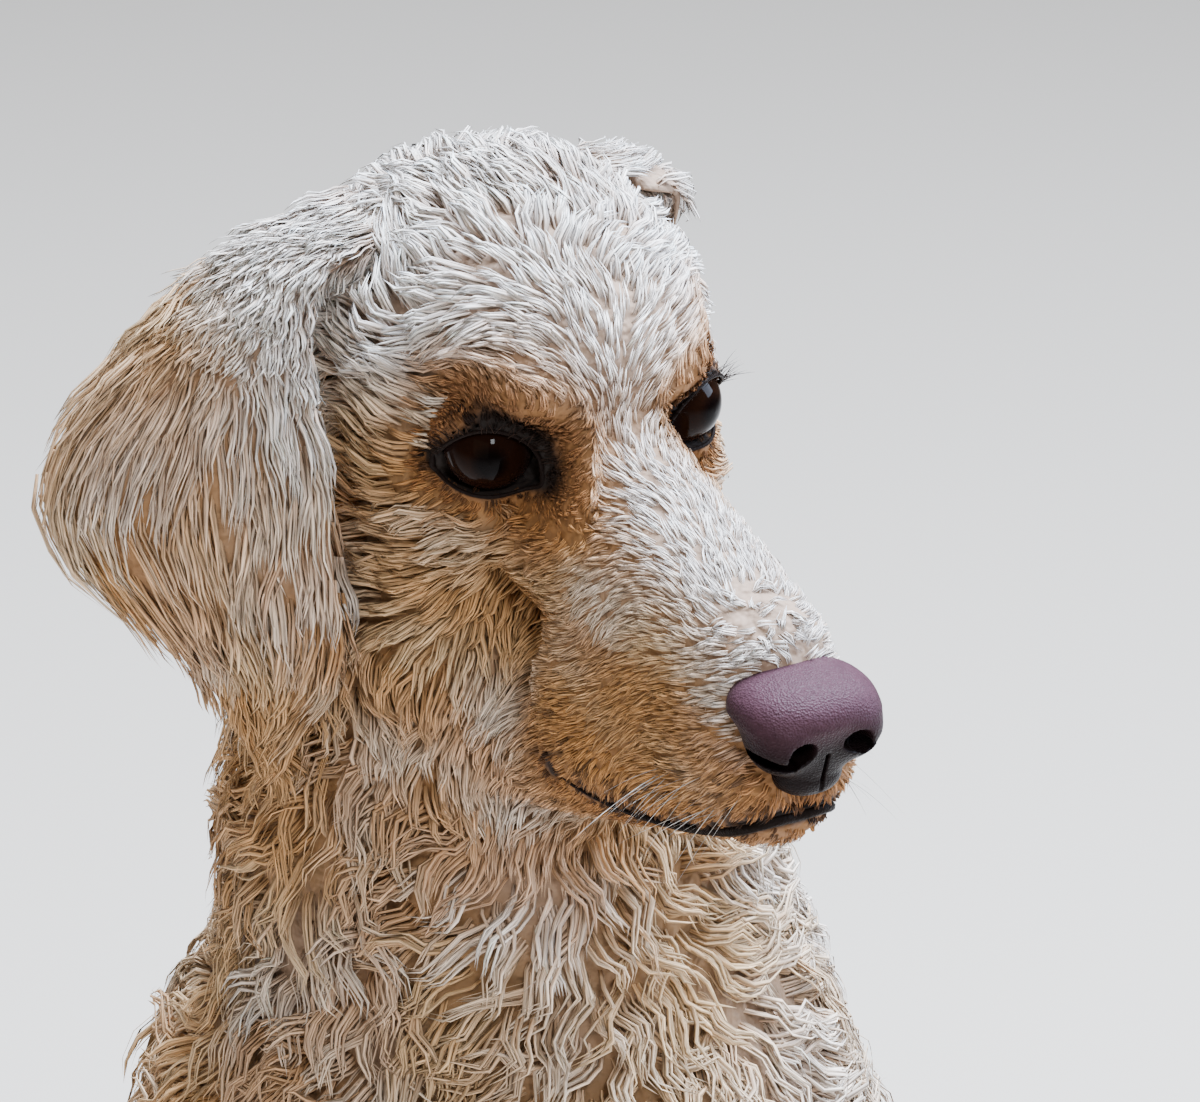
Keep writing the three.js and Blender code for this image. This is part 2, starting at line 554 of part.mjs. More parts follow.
// A paw starts inside the end of its leg, which gives it the point that its spine starts from
function makePaw(at, legEnd, start) {
  const field = coatField([legEnd, ball(at, PAW.pad), ...toesOf(at)], 5, COAT.paw);
  const spine = [start, at, [at[0], at[1] - PAW.reach, at[2] - PAW.toeDrop]];
  const paw = wrap(field, spine, 5, 16, { domeRings: 2 });
  return cutAway(aboveFloor(paw), ...toesOf(at).map((toe) => makeClaw(toe, GAP)));
}

// A claw curves down from its root, which is sunk in the end of the toe
function makeClaw(toe, grow = 0) {
  const drop = degToRad(CLAW.drop);
  const base = vector(toe.to).add(vector([0, -PAW.toe[1] - COAT.paw + CLAW.sunk, 0]));
  const rings = [0, 0.4, 0.75].map((t) => {
    const r = CLAW.radius * (1 - 0.75 * t) + grow;
    const y = t > 0 ? -CLAW.length * t * Math.cos(drop) : grow;
    const z = -CLAW.length * t * t * Math.sin(drop);
    return Array.from({ length: 5 }, (_, k) => {
      const around = (k / 5) * 2 * Math.PI;
      return base.clone().add(vector([0.75 * r * Math.cos(around), y, z + r * Math.sin(around)])).toArray();
    });
  });
  const reach = CLAW.length + 4 * grow;
  const tip = base.clone().add(vector([0, -reach * Math.cos(drop), -reach * Math.sin(drop)]));
  return solidOf(closeRings(rings, base.add(vector([0, grow, 0])).toArray(), tip.toArray()));
}

const materials = {
  coat: new THREE.MeshStandardMaterial({ color: 0xd9c6ab, roughness: 0.95 }),
  nose: new THREE.MeshStandardMaterial({ color: 0x4a3538, roughness: 0.45 }),
  eye: new THREE.MeshStandardMaterial({ color: 0x1a0f0a, roughness: 0.08 }),
  claw: new THREE.MeshStandardMaterial({ color: 0x4b4038, roughness: 0.5 }),
};

const poodle = new THREE.Group();
function addNode(name, solid, material = materials.coat) {
  // Making points that almost meet one can part a sliver from the rest, so the largest surface is taken
  const merged = solidOf(geometryOf(largest(solid)), null, WELD);
  const mesh = new THREE.Mesh(geometryOf(largest(merged)), material);
  mesh.name = name;
  poodle.add(mesh);
}
const SIDES = [[1, "left"], [-1, "right"]];

addNode("head", makeHead());
addNode("nose", makeNose(0).subtract(makeNostrils()), materials.nose);

const trunk = makeTrunk();
const trunkSocket = makeTrunk(GAP).add(makeTail(GAP));
addNode("neck", before(beyond(trunk, throatCut), NECK_CUT));
addNode("torso", aboveFloor(before(beyond(trunk, NECK_CUT).add(makeTail()), TAIL_CUT)));
addNode("tail", aboveFloor(beyond(makeTail(), TAIL_CUT)));

const [forelegEnd, hockEnd] = [FORELEG_FORMS.at(-1), HOCK_FORMS.at(-1)];
const limbs = {
  foreleg: before(makeForeleg(), PASTERN),
  forepaw: beyond(makePaw(FOREPAW_AT, forelegEnd, FOREPAW_START), PASTERN),
  thigh: aboveFloor(beyond(makeThigh(), HIP)),
  shank: aboveFloor(cutAway(makeShank(), makeThigh(GAP))),
  hock: before(aboveFloor(cutAway(makeHock(), makeShank(GAP), makeThigh(GAP))), INSTEP),
  hindpaw: beyond(makePaw(HINDPAW_AT, hockEnd, HINDPAW_START), INSTEP),
};
const claws = {
  claw_front: toesOf(FOREPAW_AT).map((toe) => makeClaw(toe)),
  claw_hind: toesOf(HINDPAW_AT).map((toe) => makeClaw(toe)),
};
const headAndNeck = [makeBareHead(GAP), makeTrunkSleeve()];
for (const [side, name] of SIDES) {
  addNode(`eye_${name}`, eyeball(side, 0), materials.eye);
  addNode(`ear_${name}`, cutAway(makeEar(side), ...headAndNeck));
  const place = (solid) => (side > 0 ? solid : mirrored(solid));
  for (const [limb, solid] of Object.entries(limbs)) {
    addNode(`${limb}_${name}`, cutAway(place(solid), trunkSocket));
  }
  for (const [row, set] of Object.entries(claws)) {
    set.forEach((claw, i) => addNode(`${row}_${name}_${i + 1}`, place(claw), materials.claw));
  }
}

// The origin is the middle of the base of the whole
const box = new THREE.Box3().setFromObject(poodle);
const centre = box.getCenter(new THREE.Vector3());
poodle.position.set(-centre.x, -centre.y, 0);

export default poodle;
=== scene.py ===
"""Looks of a sitting standard poodle: skin, coat, eyes, nose, lips and claws, over its solids."""

import math

import bpy
import numpy as np
from mathutils import Matrix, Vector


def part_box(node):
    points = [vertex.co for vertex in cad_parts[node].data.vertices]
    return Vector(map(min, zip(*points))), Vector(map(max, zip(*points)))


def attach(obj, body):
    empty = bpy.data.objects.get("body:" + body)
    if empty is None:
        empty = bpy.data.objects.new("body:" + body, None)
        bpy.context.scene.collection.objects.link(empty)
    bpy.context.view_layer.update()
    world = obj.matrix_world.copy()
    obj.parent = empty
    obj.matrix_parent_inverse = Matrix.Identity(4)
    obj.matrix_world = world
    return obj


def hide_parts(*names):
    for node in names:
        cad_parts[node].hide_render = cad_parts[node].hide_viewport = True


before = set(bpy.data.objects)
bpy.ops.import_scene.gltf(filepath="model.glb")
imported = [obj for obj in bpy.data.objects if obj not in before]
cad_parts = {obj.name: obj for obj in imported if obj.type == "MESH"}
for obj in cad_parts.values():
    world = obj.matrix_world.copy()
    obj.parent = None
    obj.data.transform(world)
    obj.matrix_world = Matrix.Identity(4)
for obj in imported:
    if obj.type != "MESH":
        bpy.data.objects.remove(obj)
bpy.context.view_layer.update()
MM = 0.001

# Sizes of the animal in millimetres, in the axes of the model before its base is centred
COAT = {"torso": 18.0, "neck": 14.0, "leg": 15.0, "thigh": 18.0, "paw": 6.0, "tail": 16.0}
HEAD_COAT = {"skull": 10.0, "muzzle": 3.0}
CORE = 0.45  # share of the coat's depth, on neck, trunk and legs, that lies under the skin of the model
HEAD_AT = np.array([0.0, -125.0, 735.0])
YAW, PITCH, ROLL = 15.0, 6.0, 3.3
EYE = {"f": -11.0, "l": 26.3, "u": -2.4, "radius": 11.3, "outward": 26.0, "tilt": -4.0, "dent": 4.0}
LIDS = {"half_width": 13.2, "above": 14.3, "below": 4.0, "corner_at": -6.0, "shell": 1.8}
ROUND_EYE = (12.0, 30.0)
NOSE = {"top": (97, 0, -31), "foot": (97, 0, -46), "power": 2.4}
NOSE_RADII = {"top": (15, 18, 9), "foot": (10, 9, 7)}
NOSE_WING = ((103, 10, -36), (8, 7, 7))  # centre and radii
NOSTRIL = ((111, 7.5, -36), (8, 3.9, 3.1))
SLIT = {"at": (105, 13.5, -38.5), "radii": (7, 6.5, 1.5), "turn": 20}
GROOVE = {"half_width": 0.5, "top": -38, "floor": 105.5}
MOUTH = {"corner_f": 15.0, "corner_u": -77.0, "front_f": 98.0, "front_u": -59.0, "sag": 38.0}
MOUTH_SWING = {"centre_f": 55.0, "degrees": 128.0}
MOUTH_GROOVE = 1.5
BLEND = {"head": 12.0, "neck": 20.0, "torso": 26.0, "limb": 12.0, "toes": 4.0, "paw": 8.0, "nose": 4.0}
BLEND_BETWEEN = {"neck": 24.0, "limbs": 12.0, "head": 14.0, "lids": 4.0, "nostril": 2.5}


def form(start, end, radii, end_radii=None):
    return [np.array(v, float) for v in (start, end, radii, end_radii or radii)]


def ball(at, radii):
    return form(at, at, radii)


HEAD = [
    ball((-50, 0, 6), (58, 44, 43)),
    ball((-92, 0, -6), (22, 26, 26)),
    ball((-22, 0, 20), (30, 28, 22)),
    ball((-32, 30, -16), (32, 13, 20)),
    ball((-6, 20, 13), (14, 12, 9)),
    form((2, 0, -24), (84, 0, -38), (24, 25, 24), (12, 17, 15)),
    form((0, 0, -6), (80, 0, -22), (14, 12, 12), (10, 13, 9)),
    form((20, 13, -60), (84, 8, -51), (18, 13, 20), (14, 10, 11)),
    form((4, 0, -83), (82, 0, -64), (24, 26, 18), (12, 13, 9)),
    ball((-44, 28, -38), (26, 14, 28)),
    ball((-62, 0, -50), (36, 36, 30)),
]
NECK = [
    form((-14, -52, 668), (-8, -42, 600), (48, 56, 50), (57, 62, 60)),
    form((-8, -42, 600), (0, -32, 535), (57, 62, 60), (66, 76, 70)),
]
TORSO = [
    form((0, -35, 510), (0, -12, 405), (72, 80, 70), (86, 104, 104)),
    form((0, -12, 405), (0, 68, 300), (86, 104, 104), (88, 98, 98)),
    form((0, 68, 300), (0, 145, 200), (88, 98, 98), (84, 88, 88)),
    form((0, 145, 200), (0, 212, 98), (84, 88, 88), (80, 82, 84)),
    form((52, 0, 500), (66, -88, 430), (30, 38, 40), (38, 42, 44)),
    form((66, -88, 430), (72, -25, 330), (38, 42, 44), (34, 40, 40)),
]
FORELEG = [
    form((72, -30, 325), (71, -52, 170), (32, 36, 34), (23, 25, 25)),
    form((71, -52, 170), (71, -66, 70), (23, 25, 25), (22, 23, 23)),
    form((71, -66, 70), (71, -84, 30), (22, 23, 23), (17, 16, 13)),
]
THIGH = [form((62, 174, 122), (98, 76, 172), (52, 88, 88), (38, 52, 54))]
SHANK = [form((104, 66, 160), (114, 192, 56), (36, 42, 42), (23, 26, 26))]
HOCK = [form((116, 196, 40), (121, 84, 25), (20, 22, 22), (16, 17, 12))]
TAIL_PATH = [(0, 280, 62), (4, 330, 38), (24, 385, 27), (64, 430, 27), (108, 452, 27)]
TAIL_RADII = [20, 12, 11, 13, 12]
TAIL = [
    form(TAIL_PATH[i], TAIL_PATH[i + 1], (TAIL_RADII[i],) * 3, (TAIL_RADII[i + 1],) * 3) for i in range(4)
]
PAW = {"pad": (26, 24, 17), "toe": (9, 15, 12), "spread": 14, "reach": 26, "middle_reach": 8, "toe_drop": 5}
FOREPAW_AT = (71, -90, 21)
HINDPAW_AT = (123, 66, 20)
CLAW = {"length": 12, "radius": 3.2, "drop": 34, "sunk": 5}
EAR_FRONT = [
    (-52, 40, 36), (-50, 54, 30), (-46, 60, 17), (-40, 61, 0), (-30, 60, -34), (-31, 61, -68), (-48, 66, -96)
]
EAR_BACK = [
    (-84, 36, 34), (-80, 54, 32), (-80, 72, 25), (-81, 88, 11),
    (-84, 113, -28), (-71, 84, -72), (-51, 68, -97),
]
EAR = {"thick": 11.0, "bulge": 7.0}
EAR_POSE = {1: (30.0, 22.0, 8.0), -1: (0.0, 0.0, 0.0)}  # degrees turned in, then millimetres back and inward


def toes_of(at):
    toes = []
    for place in (-1.5, -0.5, 0.5, 1.5):
        reach = PAW["reach"] + (PAW["middle_reach"] if abs(place) < 1 else 0)
        x = at[0] + place * PAW["spread"]
        root = (x * 0.6 + at[0] * 0.4, at[1], at[2])
        toes.append(form(root, (x, at[1] - reach, at[2] - PAW["toe_drop"]), PAW["toe"]))
    return toes


def turning(axis, degrees):
    """Matrix that turns about an axis."""
    a = np.array(axis, float)
    t = math.radians(degrees)
    k = np.array([[0, -a[2], a[1]], [a[2], 0, -a[0]], [-a[1], a[0], 0]])
    return np.eye(3) + math.sin(t) * k + (1 - math.cos(t)) * (k @ k)


LEVEL = np.array([[0, 1, 0], [-1, 0, 0], [0, 0, 1]], float)  # columns: forward, left and up
HEAD_TURN = turning((0, 0, 1), YAW) @ turning((1, 0, 0), PITCH) @ turning((0, -1, 0), ROLL) @ LEVEL


def from_head(p):
    return np.asarray(p, float) @ HEAD_TURN.T + HEAD_AT


def to_head(p):
    return (np.asarray(p, float) - HEAD_AT) @ HEAD_TURN


low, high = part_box("eye_right")
EYE_RIGHT = from_head((EYE["f"], -EYE["l"], EYE["u"]))
SHIFT = EYE_RIGHT - np.array([(a + b) / 2 for a, b in zip(low, high)]) / MM


# Distances, roughly, to the skin
def form_distance(p, f):
    start, end, radii, end_radii = f
    along = end - start
    length2 = along @ along
    t = np.clip((p - start) @ along / length2, 0, 1) if length2 > 0 else np.zeros(len(p))
    r = radii + t[:, None] * (end_radii - radii)
    q = p - start - t[:, None] * along
    k0 = np.sqrt(((q / r) ** 2).sum(1))
    k1 = np.sqrt(((q / (r * r)) ** 2).sum(1))
    return k0 * (k0 - 1) / (k1 + 1e-9)


def smooth_min(a, b, k):
    h = np.clip(0.5 + 0.5 * (b - a) / k, 0, 1)
    return b + (a - b) * h - k * h * (1 - h)


def blend_of(p, forms, k, mirror=None):
    if mirror is not None:
        p = p.copy()
        p[:, mirror] = np.abs(p[:, mirror])
    d = form_distance(p, forms[0])
    for f in forms[1:]:
        d = smooth_min(d, form_distance(p, f), k)
    return d


def ramp(x, low, high):
    t = np.clip((x - low) / (high - low), 0, 1)
    return t * t * (3 - 2 * t)


def folded(q):
    """Points in head axes, folded onto the head's left side."""
    return q * [1, 0, 1] + np.abs(q) * [0, 1, 0]


def bare_head(q):
    """The skin of the head, dented round the eyes."""
    from_eye = np.linalg.norm(folded(q) - [EYE["f"], EYE["l"], EYE["u"]], axis=1)
    return blend_of(q, HEAD, BLEND["head"], 1) + EYE["dent"] * (1 - ramp(from_eye, *ROUND_EYE))


def limbs(p):
    m = p.copy()
    m[:, 0] = np.abs(m[:, 0])
    leg = blend_of(m, FORELEG, BLEND["limb"]) - CORE * COAT["leg"]
    thigh = blend_of(m, THIGH, BLEND["limb"]) - CORE * COAT["thigh"]
    hind = blend_of(m, SHANK + HOCK, BLEND["limb"]) - CORE * COAT["leg"]
    d = np.minimum(leg, smooth_min(thigh, hind, BLEND["limb"]))
    for at in (FOREPAW_AT, HINDPAW_AT):
        paw = blend_of(m, [ball(at, PAW["pad"])] + toes_of(at), BLEND["toes"]) - 0.4 * COAT["paw"]
        d = smooth_min(d, paw, BLEND["paw"])
    return np.minimum(d, blend_of(p, TAIL, BLEND["limb"]) - CORE * COAT["tail"])


LIMBS_BELOW = 400  # height that no limb reaches


def body_field(p):
    neck = blend_of(p, NECK, BLEND["neck"]) - CORE * COAT["neck"]
    d = smooth_min(neck, blend_of(p, TORSO, BLEND["torso"], 0) - CORE * COAT["torso"], BLEND_BETWEEN["neck"])
    near = p[:, 2] < LIMBS_BELOW
    if near.any():
        e = np.full(len(p), 1e3)
        e[near] = limbs(p[near])
        d = smooth_min(d, e, BLEND_BETWEEN["limbs"])
    return smooth_min(d, bare_head(to_head(p)), BLEND_BETWEEN["head"])


def eye_axes(side):
    """Centre and axes (across, up, ahead) of an eye in head axes."""
    o = math.radians(EYE["outward"]) * side
    t = math.radians(-EYE["tilt"]) * side
    ahead = np.array([math.cos(o), math.sin(o), 0])
    level = np.array([-math.sin(o), math.cos(o), 0])
    across = level * math.cos(t) + np.array([0, 0, math.sin(t)])
    up = np.array([0, 0, math.cos(t)]) - level * math.sin(t)
    return np.array([EYE["f"], EYE["l"] * side, EYE["u"]]), across, up, ahead


def in_opening(across, up):
    """Distance, roughly, to the edge of the lids' opening, in units of its own size: 1 on the edge."""
    rise = up - LIDS["corner_at"]
    return np.hypot(across / LIDS["half_width"], rise / np.where(rise > 0, LIDS["above"], LIDS["below"]))


def mouth_height(f):
    t = np.clip((f - MOUTH["corner_f"]) / (MOUTH["front_f"] - MOUTH["corner_f"]), 0, 1)
    return MOUTH["corner_u"] + (MOUTH["front_u"] - MOUTH["corner_u"]) * t - MOUTH["sag"] * t * (1 - t)


def cast_out(field, origin, direction, reach=140.0):
    """Distance along rays from inside to where the field is zero."""
    stride = 3.0
    near = np.zeros(len(origin))
    far = np.full(len(origin), reach)
    found = np.zeros(len(origin), bool)
    for step in np.arange(0, reach, stride):
        outside = field(origin + direction * step) > 0
        new = outside & ~found
        far[new] = step
        near[new] = max(0.0, step - stride)
        found |= outside
    for _ in range(12):
        r = (near + far) / 2
        outside = field(origin + direction * r[:, None]) > 0
        far = np.where(outside, r, far)
        near = np.where(outside, near, r)
    return r


def mouth_line():
    around = np.radians(np.linspace(-1, 1, 61) * MOUTH_SWING["degrees"])
    direction = np.stack([np.cos(around), 0.55 * np.sin(around), 0 * around], 1)
    direction /= np.linalg.norm(direction, axis=1)[:, None]
    f = np.full(len(around), MOUTH["front_f"])
    for _ in range(4):
        origin = np.stack([np.full_like(f, MOUTH_SWING["centre_f"]), 0 * f, mouth_height(f)], 1)
        p = origin + direction * cast_out(bare_head, origin, direction)[:, None]
        f = p[:, 0]
    return p


MOUTH_LINE = mouth_line()


def to_mouth(q):
    """Distance from points in head axes to the line of the mouth."""
    d = np.full(len(q), 1e3)
    close = (q[:, 0] > 0) & (q[:, 2] < -30)
    if close.any():
        part = q[close]
        best = np.full(len(part), 1e3)
        for m in MOUTH_LINE[::2]:
            best = np.minimum(best, np.linalg.norm(part - m, axis=1))
        d[close] = best
    return d


def lidded(p):
    """The body's skin with a shell of lids over each eyeball."""
    q = to_head(p)
    d = body_field(p)
    for side in (1, -1):
        r = np.linalg.norm(q - eye_axes(side)[0], axis=1)
        d = smooth_min(d, r - EYE["radius"] - LIDS["shell"], BLEND_BETWEEN["lids"])
    return d


def face_field(p):
    """The head's skin with its lids, eye openings and the line of the mouth."""
    q = to_head(p)
    d = lidded(p)
    for side in (1, -1):
        centre, across, up, ahead = eye_axes(side)
        v = q - centre
        edge = (in_opening(v @ across, v @ up) - 1) * LIDS["above"] * 0.6
        d = np.maximum(d, -np.maximum(edge, -(v @ ahead)))
        d = np.maximum(d, EYE["radius"] - 0.6 - np.linalg.norm(v, axis=1))
    return np.maximum(d, MOUTH_GROOVE - to_mouth(q))


def bare_nose(q):
    """The nose leather as a rounded box that narrows to its foot."""
    top, foot = np.array(NOSE["top"], float), np.array(NOSE["foot"], float)
    t = np.clip((top[2] - q[:, 2]) / (top[2] - foot[2]), 0, 1)[:, None]
    radii = np.array(NOSE_RADII["top"], float) * (1 - t) + np.array(NOSE_RADII["foot"], float) * t
    share = np.abs(q - top - t * (foot - top)) / radii
    return ((share ** NOSE["power"]).sum(1) ** (1 / NOSE["power"]) - 1) * radii.min(1)


def nose_field(q):
    """The nose leather with comma-shaped nostrils and the groove below them."""
    m = folded(q)
    hole = form_distance(m, ball(*NOSTRIL))
    f, l, u = (m - np.array(SLIT["at"])).T
    t = math.radians(SLIT["turn"])
    turned = np.stack([f, l * math.cos(t) + u * math.sin(t), u * math.cos(t) - l * math.sin(t)], 1)
    slit = form_distance(turned, ball((0, 0, 0), SLIT["radii"]))
    groove = np.maximum(m[:, 1] - GROOVE["half_width"], m[:, 2] - GROOVE["top"])
    d = smooth_min(bare_nose(q), form_distance(m, ball(*NOSE_WING)), BLEND["nose"])
    d = np.maximum(d, -smooth_min(hole, slit, BLEND_BETWEEN["nostril"]))
    return np.maximum(d, -np.maximum(groove, GROOVE["floor"] - m[:, 0]))


def gradient(field, p, h=0.5):
    g = np.zeros_like(p)
    for i in range(3):
        step = np.zeros(3)
        step[i] = h
        g[:, i] = field(p + step) - field(p - step)
    return g / (2 * h)


def unit(v):
    return v / (np.linalg.norm(v, axis=-1, keepdims=True) + 1e-12)


def surface_of(field, low, high, cell):
    """Closed surface where a field is zero: one point in each crossed cell, then moved onto the surface."""
    axes = [np.arange(a, b + cell, cell) for a, b in zip(low, high)]
    shape = [len(a) for a in axes]
    values = np.empty(shape, np.float32)
    for i, x in enumerate(axes[0]):
        y, z = np.meshgrid(axes[1], axes[2], indexing="ij")
        p = np.stack([np.full(y.size, x), y.ravel(), z.ravel()], 1)
        values[i] = field(p).reshape(shape[1], shape[2])
    inside = values < 0
    count = np.zeros([n - 1 for n in shape], np.uint8)
    for dx in (0, 1):
        for dy in (0, 1):
            for dz in (0, 1):
                count += inside[dx : shape[0] - 1 + dx, dy : shape[1] - 1 + dy, dz : shape[2] - 1 + dz]
    crossed = (count > 0) & (count < 8)
    index = -np.ones(crossed.shape, np.int64)
    index[crossed] = np.arange(crossed.sum())
    cells = np.argwhere(crossed)
    points = np.array(low) + (cells + 0.5) * cell
    for _ in range(4):
        g = gradient(field, points)
        move = field(points)[:, None] * g / ((g**2).sum(1)[:, None] + 1e-9)
        points = points - np.clip(move, -cell, cell)
    centre = np.array(low) + (cells + 0.5) * cell
    points = np.clip(points, centre - 0.9 * cell, centre + 0.9 * cell)
    faces = []
    for axis in range(3):
        near = [slice(1, -1)] * 3
        far = [slice(1, -1)] * 3
        near[axis] = slice(0, shape[axis] - 1)
        far[axis] = slice(1, shape[axis])
        here, there = inside[tuple(near)], inside[tuple(far)]
        edge = np.argwhere(here != there)
        start = here[tuple(edge.T)]
        edge = edge + 1
        edge[:, axis] -= 1
        u, v = (axis + 1) % 3, (axis + 2) % 3
        corners = []
        for du, dv in ((-1, -1), (0, -1), (0, 0), (-1, 0)):
            c = edge.copy()
            c[:, u] += du
            c[:, v] += dv
            corners.append(index[tuple(c.T)])
        quad = np.stack(corners, 1)
        quad[~start] = quad[~start][:, ::-1]
        faces.append(quad)
    return points, np.concatenate(faces)


# Colours, by place on the animal
def mix(a, b, t):
    return a + (b - a) * np.asarray(t)[..., None]


CREAM = np.array([0.74, 0.50, 0.28])
PALE = np.array([0.95, 0.90, 0.86])
APRICOT = np.array([0.56, 0.25, 0.07])
RUST = np.array([0.27, 0.10, 0.032])
DARK = np.array([0.018, 0.009, 0.006])


def waves(p, size, seed, count=5):
    """A smooth field between about -1 and 1 that changes over the given size."""
    rng = np.random.default_rng(seed)
    total = np.zeros(len(p))
    for _ in range(count):
        k = unit(rng.normal(size=3)) * 2 * math.pi / (size * rng.uniform(0.7, 1.5))
        total += np.sin(p @ k + rng.uniform(0, 2 * math.pi))
    return total / math.sqrt(count)


def coat_colour(p):
    """Colour of the coat at a place, with painted light and shade in it, and the same at the roots of its
    hair.
    """
    q = to_head(p)
    f, side, u = q[:, 0], np.abs(q[:, 1]), q[:, 2]
    # Body: cream with random pale patches, paler on its left as painted light on the side the light comes
    # from, and apricot patches on the right of the neck and chest as painted shade
    on_head = ramp(bare_head(q), 40, 20)
    # random pale tone, plus painted light that grows towards the left side
    pale_and_painted_light = 0.16 + 0.30 * waves(p, 55, 5) + 0.35 * ramp(p[:, 0], 10, 70)
    tone = mix(CREAM[None], PALE, np.clip(pale_and_painted_light, 0, 1))
    # painted shade: apricot patches kept to the right side, away from the light
    painted_shade_apricot = (1 - on_head) * ramp(p[:, 0], 15, -50) * ramp(waves(p, 40, 12), -1.0, 0.8)
    tone = mix(tone, APRICOT[None], 0.58 * painted_shade_apricot)
    # Skull: pale above, partly the coat's own tone and partly painted light from above; apricot on the
    # cheeks, partly the coat's own tone and partly painted shade
    tone = mix(tone, APRICOT[None], 0.68 * on_head * ramp(u, 5, -30) * ramp(waves(p, 26, 8), -1.2, 0.9))
    tone = mix(tone, PALE[None], 0.85 * on_head * ramp(u, -14, 22))
    # Muzzle: pale along the bridge, partly painted light on its top; apricot on the sides; rust and then
    # black at the lips, the black both the dark lip edge and painted shade in the mouth's crease
    muzzle = on_head * ramp(f, 5, 35)
    top = ramp(side, 19, 8) * ramp(u + 0.24 * f, -24, -8)
    # partly painted light on the top of the bridge
    tone = mix(tone, PALE[None], 0.9 * muzzle * top)
    tone = mix(tone, APRICOT[None], 0.62 * muzzle * (1 - top) * ramp(u, -32, -62))
    near_mouth = to_mouth(q)
    tone = mix(tone, RUST[None], 0.85 * np.exp(-((near_mouth / 9.0) ** 2)))
    # painted shade in the mouth's crease, over the dark lip edge
    tone = mix(tone, DARK[None], 0.95 * ramp(near_mouth, 5.0, 2.6))
    # Eyes: apricot round them, then rust with a stain at the inner corner, then black lids, the black
    # running up into painted shade under the brow
    for s in (1, -1):
        centre, across, up, ahead = eye_axes(s)
        a, b = (q - centre) @ across, (q - centre) @ up
        ring = in_opening(a, b) + 2.5 * ramp((q - centre) @ ahead, -3, -10)
        tone = mix(tone, APRICOT[None], 0.8 * ramp(ring, 3.2, 1.8))
        stain = np.hypot((a * s + 12) / 9, (b + 13) / 14)
        tone = mix(tone, RUST[None], 0.75 * np.maximum(ramp(ring, 2.1, 1.5), 0.8 * ramp(stain, 1.3, 0.4)))
        # painted shade: the black reaches well above the opening, under the brow, and is kept narrower on
        # the outer side above and below the eye
        outer = 0.3 * ramp(a * s, 0, 9) * ramp(b, -4, 2)
        tone = mix(tone, DARK[None], ramp(ring + 0.22 * ramp(b, -2, -9) + outer, 1.55, 1.2))
    # Rust below the nose and on the chin
    under_nose = ramp(f, 60, 80) * ramp(bare_nose(q), 7, 1) * ramp(u, -30, -44)
    tone = mix(tone, RUST[None], 0.6 * on_head * under_nose)
    tone = mix(tone, RUST[None], 0.6 * on_head * ramp(f, 10, 40) * ramp(u - mouth_height(f), -3, -9))
    root = mix(tone, APRICOT[None] * 0.8, 0.7 * ramp(tone[:, 0], 0.12, 0.5))
    return np.clip(tone, 0, 1), np.clip(root, 0, 1)


def coat_depth(p):
    """Depth of the coat over the skin of the model."""
    q = to_head(p)
    depth = np.full(len(p), (1 - CORE) * COAT["torso"])
    depth = np.where(p[:, 2] > 535, (1 - CORE) * COAT["neck"], depth)
    depth = np.where(p[:, 2] < 60, (1 - CORE) * COAT["leg"], depth)
    m = np.abs(p[:, 0])
    for at in (FOREPAW_AT, HINDPAW_AT):
        near = np.linalg.norm(np.stack([m - at[0], p[:, 1] - at[1] + 14, p[:, 2] - at[2]], 1), axis=1)
        depth = np.where(near < 46, 0.6 * COAT["paw"], depth)
    head = mix(HEAD_COAT["skull"], HEAD_COAT["muzzle"], ramp(q[:, 0], -30, 12))[:, 0]
    on_head = ramp(bare_head(q), 16, 4)
    return depth + (head - depth) * on_head


WHORL = (78, 0, -20)  # where the hair of the bridge parts, just behind the nose


def lie_of(p):
    """Direction in which the hair runs."""
    q = to_head(p)
    f, l, u = q.T
    s = np.tanh(l / 12)
    side = np.clip(np.abs(l) / 22, 0, 1)
    muzzle = ramp(f, -5, 15)
    brow = ramp(f, -45, -10) * (1 - muzzle)
    head_dir = np.zeros_like(q)
    head_dir[:, 0] = -1.0
    head_dir[:, 1] = s * (0.25 + 0.5 * brow)
    head_dir[:, 2] = 0.35 * ramp(u, -20, 15) * (1 - side) - 0.75 * side * ramp(u, 10, -30)
    head_dir = unit(head_dir)
    whorl = q - np.array(WHORL)
    near_whorl = ramp(np.linalg.norm(whorl, axis=1), 17, 8)[:, None]
    head_dir = unit(head_dir * (1 - near_whorl) + unit(whorl) * near_whorl)
    hanging = ramp(to_mouth(q), 16, 5)[:, None] * np.array([0, 0, -0.55])
    head_dir = unit(head_dir + hanging)
    for s in (1, -1):
        centre, across, up, ahead = eye_axes(s)
        v = q - centre
        a, b = v @ across, v @ up
        away = unit(a[:, None] * across + (b - 0.5 * LIDS["corner_at"])[:, None] * up)
        near = (ramp(in_opening(a, b), 2.6, 1.5) * ramp(v @ ahead, -2, 5))[:, None]
        head_dir = unit(head_dir * (1 - near) + away * near)
    head_dir = head_dir @ HEAD_TURN.T
    body_dir = np.zeros_like(p)
    body_dir[:, 1] = 0.45
    body_dir[:, 2] = -1.0
    low = p[:, 2] < 62
    behind = low & (p[:, 1] > 282)
    body_dir[behind] = (0.35, 1.0, -0.1)
    hock = low & ~behind & (np.abs(p[:, 0]) > 85) & (p[:, 1] > 20)
    body_dir[hock] = (0, -1.0, -0.25)
    paw = low & ~behind & (np.abs(p[:, 0]) > 30) & (p[:, 1] < -60)
    body_dir[paw] = (0, -1.0, -0.6)
    on_head = ramp(bare_head(q), 16, 4)
    return unit(mix(body_dir, head_dir, on_head))


